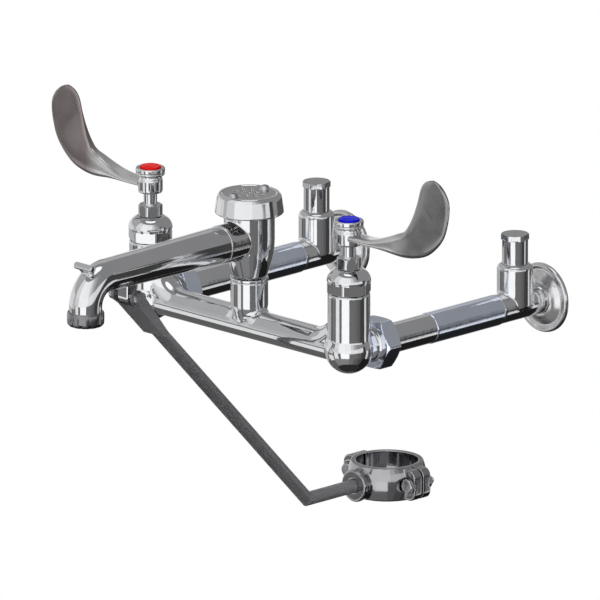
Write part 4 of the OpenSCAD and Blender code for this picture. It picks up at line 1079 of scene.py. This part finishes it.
@dataclass
class SupplyArm:
    """One supply arm from the valve's shank to the wall, with its nut, sleeve, stop and flange."""

    side: Side
    nut_start: float = 21.0
    nut_len: float = 14.0
    nut_w: float = 40.4
    nut_chamfer: float = 2.4
    tube_d: float = 22.0
    sleeve_start: float = 80.0
    sleeve_end: float = 150.0
    sleeve_d: float = 23.0
    sleeve_bore: float = 19.2
    stop_y: float = 170.5
    stop_cell: float = 0.7
    stop_passes: int = 5
    boss_top: float = 31.5
    cap_d: float = 19.0
    cap_h: float = 22.0
    cap_wall: float = 2.3
    hex_w: float = 21.2
    hex_h: float = 4.0
    hex_chamfer: float = 0.15
    hex_turn: float = 45.0
    wall_y: float = 200.0
    flange_d: float = 51.6
    flange_t: float = 6.0

    def build(self) -> None:
        """Builds the nut, the sleeve, the stop's cap and the flange, and dresses the rest."""
        word, x = self.side.word, self.side.x
        nut = Shape()
        place = at(x, self.nut_start) @ ALONG_Y
        nut.hexagon(self.nut_w, self.nut_len, self.nut_chamfer, self.tube_d + 0.1, place)
        nut.piece(f"{word}_union_nut", Finishes.blue_chrome, "body", (f"{word}_coupling_nut",))
        sleeve = Shape()
        r, bore = self.sleeve_d / 2, self.sleeve_bore / 2
        start, end = self.sleeve_start, self.sleeve_end
        sleeve.lathed([
            (bore, start, 0), (r - 0.5, start, 0.3), (r, start + 0.8, 0.4),
            (r, end - 0.8, 0.4), (r - 0.5, end, 0.3), (bore, end, 0),
        ], at(x) @ ALONG_Y)
        sleeve.piece(f"{word}_arm_sleeve", Finishes.blue_chrome, "body", (f"{word}_supply_sleeve",))
        self.cover(word, x)
        self.flange(word, x)
        dress(f"{word}_supply_tube", Finishes.chrome)
        cast(f"{word}_stop_body", Finishes.chrome, self.stop_cell, self.stop_passes)
        for part in ("spindle", "plunger"):
            dress(f"{word}_stop_{part}", Finishes.brass)

    def cover(self, word: str, x: float) -> None:
        """Turns the cap over the stop, hollow and closed by a thin hexagon at its top.

        Args:
            word: The side's name.
            x: The side's X.
        """
        r, h, wall, hex_z = self.cap_d / 2, self.cap_h, self.cap_wall, self.cap_h - self.hex_h
        place = at(x, self.stop_y, self.boss_top)
        cap = Shape()
        cap.lathed([
            (0, h - wall, 0), (r - wall, h - wall, 0.6), (r - wall, 0, 0), (r, 0, 0.5),
            (r, hex_z + 0.6, 0.3), (r - 0.8, hex_z + 1.0, 0), (0, hex_z + 1.0, 0),
        ], place)
        top = place @ move(0, 0, hex_z) @ turn(self.hex_turn, "Z")
        cap.hexagon(self.hex_w, self.hex_h, self.hex_chamfer, 0.6, top)
        cap.piece(f"{word}_stop_cover", Finishes.chrome, "body", (f"{word}_stop_cap",))

    def flange(self, word: str, x: float) -> None:
        """Turns the wall flange as one pressed sheet: a domed middle, a groove and a raised rim.

        Args:
            word: The side's name.
            x: The side's X.
        """
        bore, rim, t = self.tube_d / 2 + 0.05, self.flange_d / 2, self.flange_t
        flange = Shape()
        flange.lathed([
            (bore, 0.3, 0.1), (bore + 0.7, 0.0, 0.3), (bore + 2.6, 0.5, 1.0), (rim - 9.6, 1.6, 1.1),
            (rim - 7.4, 2.9, 1.1), (rim - 5.8, 3.9, 0.8), (rim - 4.2, 3.8, 0.7),
            (rim - 3.0, 3.0, 0.8), (rim - 1.7, 2.6, 0.8), (rim - 0.6, 3.2, 0.8), (rim, 4.4, 0.8),
            (rim, t, 0.3), (rim - 6.9, t, 0.4), (rim - 7.4, 4.4, 1.0), (rim - 9.2, 3.2, 1.0),
            (bore + 3.4, 2.2, 1.0), (bore, 2.2, 0.3),
        ], at(x, self.wall_y - t) @ ALONG_Y, sides=128)
        flange.piece(f"{word}_escutcheon", Finishes.satin, "body", (f"{word}_wall_flange",))


@dataclass
class Breaker:
    """The vacuum breaker that turns in the hub: collar, body, cap and the parts inside.

    Each row of air holes has its count, its distance from the middle and its turn in steps.
    """

    cell: float = 0.6
    passes: int = 5
    tail_d: float = 17.0
    hub_top: float = 33.0
    collar_d: float = 27.8
    collar_h: float = 2.0
    thread_d: float = 22.9
    thread_len: float = 9.1
    cap_z: float = 83.0
    cap_d: float = 50.2
    cap_top_d: float = 45.8
    cap_h: float = 15.0
    cap_wall: float = 2.0
    recess: float = 0.6
    recess_r: float = 19.45
    hole_d: float = 2.6
    hole_rows: tuple[tuple[int, float, float], ...] = ((6, 5.6, 0.0), (10, 10.6, 0.5))
    screw_y: float = 15.75
    post_r: float = 3.2
    post_bore_r: float = 1.55
    post_z: float = 2.0

    def build(self) -> None:
        """Builds the collar and the cap and dresses the rest."""
        cast("breaker_body", Finishes.chrome, self.cell, self.passes)
        self.collar()
        self.cap()
        dress("cap_screws", Finishes.screw)
        dress("vent_plate", Finishes.plated)
        for node in ("breaker_seat", "breaker_float", "shank_rings"):
            dress(node, Finishes.rubber)

    def air_holes(self) -> list[Triple]:
        """Gives the place and radius of the air holes, one in the middle and rings round it.

        Returns:
            X, Y and radius of each hole.
        """
        holes = [(0.0, 0.0, self.hole_d / 2)]
        for count, distance, start in self.hole_rows:
            for i in range(count):
                a = 2 * math.pi * (i + start) / count
                holes.append((distance * math.cos(a), distance * math.sin(a), self.hole_d / 2))
        return holes

    def cap(self) -> None:
        """Builds the cap with its sloping skirt, pierced top and screw posts, and its lining."""
        r, top_r, h, wall = self.cap_d / 2, self.cap_top_d / 2, self.cap_h, self.cap_wall
        face, high = self.recess_r, h - self.recess
        low = high - wall
        place, holes = at(0, 0, self.cap_z), self.air_holes()
        cap = Shape()
        cap.lathed([
            (r - 0.6, 0, 0.3), (r, 0.8, 0.5), (top_r + 0.6, h - 2.4, 1.2),
            (top_r - 0.35, h - 0.7, 0.8), (top_r - 1.4, h, 0.6), (face + 0.7, h, 0.5),
            (face, high, 0.2), (face - 0.2, high, 0), (face - 0.2, low, 0),
            (top_r - wall, low, 0.6), (r - wall - 0.3, 0.4, 0.3),
        ], place, sides=144)
        cap.pierced(face - 0.1, low, high, holes, place)
        post = [
            (self.post_bore_r, self.post_z), (self.post_r, self.post_z),
            (self.post_r, low + 0.1), (self.post_bore_r, low + 0.1),
        ]
        for y in (-self.screw_y, self.screw_y):
            cap.turned(post, place @ move(0, y), 40)
        cap.piece("breaker_cap_shell", Finishes.chrome, "spout", ("breaker_cap",))
        lining = Shape()
        lining.lathed([
            (r - wall - 0.5, 0.8, 0.2), (r - wall - 0.3, 0.9, 0),
            (top_r - wall + 0.1, low - 0.2, 0), (top_r - wall - 0.3, low - 0.4, 0.2),
        ], place)
        lining.pierced(top_r - wall - 0.4, low - 0.9, low - 0.1, holes, place)
        lining.piece("cap_lining", Finishes.dull, "spout")

    def collar(self) -> None:
        """Turns the threaded collar that holds the shank in the hub."""
        r, inner, thread_r = self.collar_d / 2, self.tail_d / 2 + 0.05, self.thread_d / 2
        seat = self.hub_top
        low, top = seat - self.thread_len, seat + self.collar_h
        collar = Shape()
        collar.lathed([
            (inner, low, 0), (thread_r, low, 0.5), (thread_r, seat, 0), (r, seat, 0.3),
            (r, top, 0.7), (inner + 0.6, top, 0.3), (inner, top - 0.5, 0.2),
        ], at())
        collar.piece("shank_collar", Finishes.chrome, "body", ("spout_collar",))


@dataclass
class Spout:
    """The spout tube with its pail hook, brace lug and hose outlet."""

    reach: float = 166.0
    axis_z: float = 64.5
    start: float = 31.0
    root_d: float = 27.4
    tip_d: float = 23.8
    bore_d: float = 16.0
    spigot_d: float = 22.0
    spigot_len: float = 11.0
    elbow_r: float = 20.0
    neck_len: float = 3.0
    outlet_len: float = 10.3
    outlet_d: float = 27.0
    outlet_lobes: int = 12
    hook_angle: float = 55.0
    hook_low: float = 9.5
    hook_len: float = 16.4
    bar_d: float = 5.2
    bar_len: float = 18.0
    neck_w: float = 10.5
    neck_t: float = 4.6
    lug_y: float = 124.0
    lug_z: float = 45.0
    lug_w: float = 10.0
    lug_r: float = 5.0
    lug_top: float = 10.0
    lug_edge: float = 0.6
    pin_hole_r: float = 2.55

    def build(self) -> None:
        """Builds the tube with its hook and lug, and the outlet ring."""
        arm = Shape()
        self.tube(arm)
        self.hook(arm)
        self.lug(arm)
        arm.piece("spout_tube", Finishes.chrome, "spout", ("spout_arm",))
        self.ring()
        dress("outlet_screen", Finishes.outlet)

    def spot(self, y: float, z: float) -> Vector:
        """Gives a point of the middle plane, with its Y measured from the valve row."""
        return Vector((0, ROW_Y + y, z))

    def tube(self, shape: Shape) -> None:
        """Pipes the tapered tube, its elbow and its neck, with the water way inside.

        Args:
            shape: The spout's shape.
        """
        start, rim, bore = -self.start, 0.4, self.bore_d / 2
        bend_y, neck_z = self.elbow_r - self.reach, self.axis_z - self.elbow_r
        ahead, down = Vector((0, -1, 0)), Vector((0, 0, -1))
        outline = [
            (start + self.spigot_len, self.spigot_d / 2), (start, self.spigot_d / 2),
            (start, self.root_d / 2 - rim), (start - rim, self.root_d / 2),
        ]
        taper, bend = 12, 32
        for k in range(1, taper + 1):
            radius = (self.root_d + (self.tip_d - self.root_d) * k / taper) / 2
            outline.append((start + (bend_y - start) * k / taper, radius))
        outer = [(self.spot(y, self.axis_z), ahead, radius) for y, radius in outline]
        inner = [(outer[k][0], ahead, bore) for k in (0, -1)]
        for k in range(1, bend + 1):
            a = math.pi / 2 * k / bend
            y = bend_y - self.elbow_r * math.sin(a)
            centre = self.spot(y, neck_z + self.elbow_r * math.cos(a))
            way = ahead * math.cos(a) + down * math.sin(a)
            outer.append((centre, way, self.tip_d / 2))
            inner.append((centre, way, bore))
        end = self.spot(-self.reach, neck_z - self.neck_len - self.outlet_len + 2)
        outer.append((end, down, self.tip_d / 2))
        inner.append((end, down, bore))
        shape.piped(outer + inner[::-1])

    def hook(self, shape: Shape) -> None:
        """Adds the pail hook: a neck that widens up to a cross bar with rounded ends.

        Args:
            shape: The spout's shape.
        """
        place = at(0, self.elbow_r - self.reach, self.axis_z - self.elbow_r)
        place = place @ turn(90 - self.hook_angle, "X") @ move(0, 0, self.elbow_r)
        low, top, w, t = self.hook_low, self.hook_len, self.neck_w, self.neck_t
        rings = [[place @ Vector((0, 0, low))]]
        for height, width, thick in (
            (low, w, t), (11.4, w + 1.2, t + 1.2), (12.2, w, t), (13.0, w + 0.3, t - 0.2),
            (14.4, w + 1.6, t - 0.2), (top, self.bar_len - 4.0, t),
        ):
            rings.append([place @ Vector((x, y, height)) for x, y in self.oval(width, thick)])
        rings.append([place @ Vector((0, 0, top))])
        shape.skin(rings, closed=False)
        r, half = self.bar_d / 2, self.bar_len / 2
        shape.lathed([
            (0, -half, 0), (r - 0.3, -half, 1.6), (r, 0.6 - half, 1.4), (r, half - 0.6, 1.4),
            (r - 0.3, half, 1.6), (0, half, 0),
        ], place @ move(0, 0, top) @ ALONG_X, sides=48)

    def oval(self, width: float, thick: float) -> list[Pair]:
        """Gives the points of a rectangle with well rounded corners."""
        x, y, r = width / 2, thick / 2, 0.45 * thick
        return rounded([(x, -y, r), (x, y, r), (-x, y, r), (-x, -y, r)], closed=True, steps=6)

    def lug(self, shape: Shape) -> None:
        """Adds the lug under the tube, with rounded edges and the hole of the brace pin.

        Args:
            shape: The spout's shape.
        """
        r, half, edge = self.lug_r, self.lug_w / 2, self.lug_edge
        arch = arc((0, 0), r, 180, 360, 24)
        outline = rounded([(-r, self.lug_top, 0), *arch, (r, self.lug_top, 0)], closed=True)
        hole = [spot[:2] for spot in arc((0, 0), self.pin_hole_r, 180, 540, len(outline) - 1)]
        edges = ((-half, edge), (edge - half, 0.0), (half - edge, 0.0), (half, edge))
        loops = [(-half, hole)]
        for x, inset in edges:
            scale = (r - inset) / r
            loops.append((x, [(y * scale, z * (scale if z < 0 else 1)) for y, z in outline]))
        loops.append((half, hole))
        middle = self.spot(-self.lug_y, self.lug_z)
        rings = [[middle + Vector((x, y, z)) for y, z in points] for x, points in loops]
        shape.skin(rings, closed=True)

    def ring(self) -> None:
        """Builds the hose outlet ring, whose lower rim is scalloped."""
        z = self.axis_z - self.elbow_r - self.neck_len - self.outlet_len
        r, bore, inner = self.outlet_d / 2, self.bore_d / 2, self.tip_d / 2 + 0.05
        h = self.outlet_len
        sides = 144
        angles = [2 * math.pi * i / sides for i in range(sides)]
        waves = [max(0.0, math.cos(a * self.outlet_lobes)) ** 2 for a in angles]
        ring = Shape()
        rings = []
        for radius, height, depth in (
            (bore, 0.0, 0.0), (r - 2.4, 0.0, 0.0), (r - 1.3, 0.25, 0.35), (r - 0.45, 1.1, 1.0),
            (r - 0.1, 2.2, 0.7), (r, 3.0, 0.0), (r, h - 1.4, 0.0), (r - 0.25, h - 0.5, 0.0),
            (r - 0.7, h, 0.0), (inner, h, 0.0), (inner, 2.0, 0.0), (bore, 2.0, 0.0),
        ):
            radii = [radius - depth * wave for wave in waves]
            rings.append(ring.loop(radii, height, at(0, -self.reach, z)))
        ring.skin(rings, closed=True)
        ring.piece("hose_ring", Finishes.outlet, "spout", ("outlet_ring",))


@dataclass
class Brace:
    """The brace: pivot pin, strap and rod, each with the rounding of its edges."""

    strap_edge: float = 0.5
    rod_edge: float = 0.3
    pin_edge: float = 0.5

    def build(self) -> None:
        """Dresses the strap, the rod and the pin and rounds their edges."""
        for node, finish, width in (
            ("brace_strap", Finishes.brace, self.strap_edge),
            ("brace_rod", Finishes.brace, self.rod_edge),
            ("brace_pin", Finishes.screw, self.pin_edge),
        ):
            thing = dress(node, finish)
            rounding = thing.modifiers.new("edge_rounding", "BEVEL")
            rounding.width = width * MM
            rounding.segments = 3
            rounding.limit_method = "ANGLE"
            rounding.angle_limit = math.radians(40)


@dataclass
class Clamp:
    """The split pipe clamp at the end of the brace rod, with its screws and nuts."""

    screw_d: float = 6.0
    hex_w: float = 11.5
    hex_w: float = 11.5
    hex_t: float = 3.6
    hex_chamfer: float = 0.9
    ear_x: float = 30.7
    ear_t: float = 7.5
    seat_depth: float = 0.5
    gap: float = 1.5
    spare: float = 4.0
    ring_z: float = -143.47
    ring_y: float = 141.34
    cell: float = 0.5
    passes: int = 4

    def build(self) -> None:
        """Builds the screws and nuts and dresses the jaws and the set screw."""
        for node in ("clamp_front_jaw", "clamp_rear_jaw"):
            cast(node, Finishes.clamp, self.cell, self.passes)
        screws, nuts = Shape(), Shape()
        face = self.gap / 2 + self.ear_t - self.seat_depth
        length = 2 * face + self.hex_t + self.spare
        w, t, chamfer, r = self.hex_w, self.hex_t, self.hex_chamfer, self.screw_d / 2
        for x in (-self.ear_x, self.ear_x):
            head = at(x, self.ring_y - face, self.ring_z) @ ALONG_Y
            screws.lathed([
                (0, -0.4, 0), (r, -0.4, 0), *self.thread(r, 2 * self.ear_t, length - 0.8),
                (r - 0.7, length, 0.2), (0, length, 0),
            ], head, sides=48)
            screws.hexagon(w, t, chamfer, 0.4, head @ move(0, 0, -t))
            seat = at(x, self.ring_y + face, self.ring_z) @ ALONG_Y
            nuts.hexagon(w, t, chamfer, self.screw_d + 0.1, seat)
        screws.piece("jaw_screws", Finishes.screw, "clamp_front", ("clamp_screws",))
        nuts.piece("jaw_nuts", Finishes.screw, "clamp_rear", ("clamp_nuts",))
        dress("set_screw", Finishes.screw)

    def thread(self, radius: float, start: float, end: float) -> list[Triple]:
        """Gives the crests and roots of a screw's thread.

        Args:
            radius: Radius of the crests.
            start: Height of the first crest.
            end: Height that no crest passes.

        Returns:
            Radius and height of each crest and root, with no rounding.
        """
        pitch, depth = 1.0, 0.35
        count = int((end - start) / pitch)
        points = []
        for k in range(count):
            points.append((radius, start + k * pitch, 0.0))
            points.append((radius - depth, start + (k + 0.5) * pitch, 0.0))
        return points + [(radius, start + count * pitch, 0.0)]


@dataclass
class Inside:
    """The pieces that both valves or both stops share, most of them out of sight."""

    rubber: tuple[str, ...] = ("seat_seals", "stem_packings", "coupling_washers")
    brass: tuple[str, ...] = ("stop_glands",)
    ceramic: tuple[str, ...] = ("fixed_discs",)

    def build(self) -> None:
        """Dresses the shared pieces."""
        for nodes, finish in (
            (self.rubber, Finishes.rubber),
            (self.brass, Finishes.brass),
            (self.ceramic, Finishes.ceramic),
        ):
            for node in nodes:
                dress(node, finish)


class Builder(Protocol):
    """Anything that main() builds."""

    def build(self) -> None:
        """Builds it."""


def main() -> None:
    """Builds the studio and every sub-assembly of the faucet in order."""
    logging.basicConfig(level=logging.INFO, format="%(name)s: %(message)s")
    builders: list[Builder] = [Studio(), Casting()]
    for side in Side:
        builders += [Valve(side), BladeHandle(side), SupplyArm(side)]
    builders += [Breaker(), Spout(), Brace(), Clamp(), Inside()]
    for builder in builders:
        builder.build()
        log.info("%s built", type(builder).__name__)


if __name__ == "__main__":
    main()
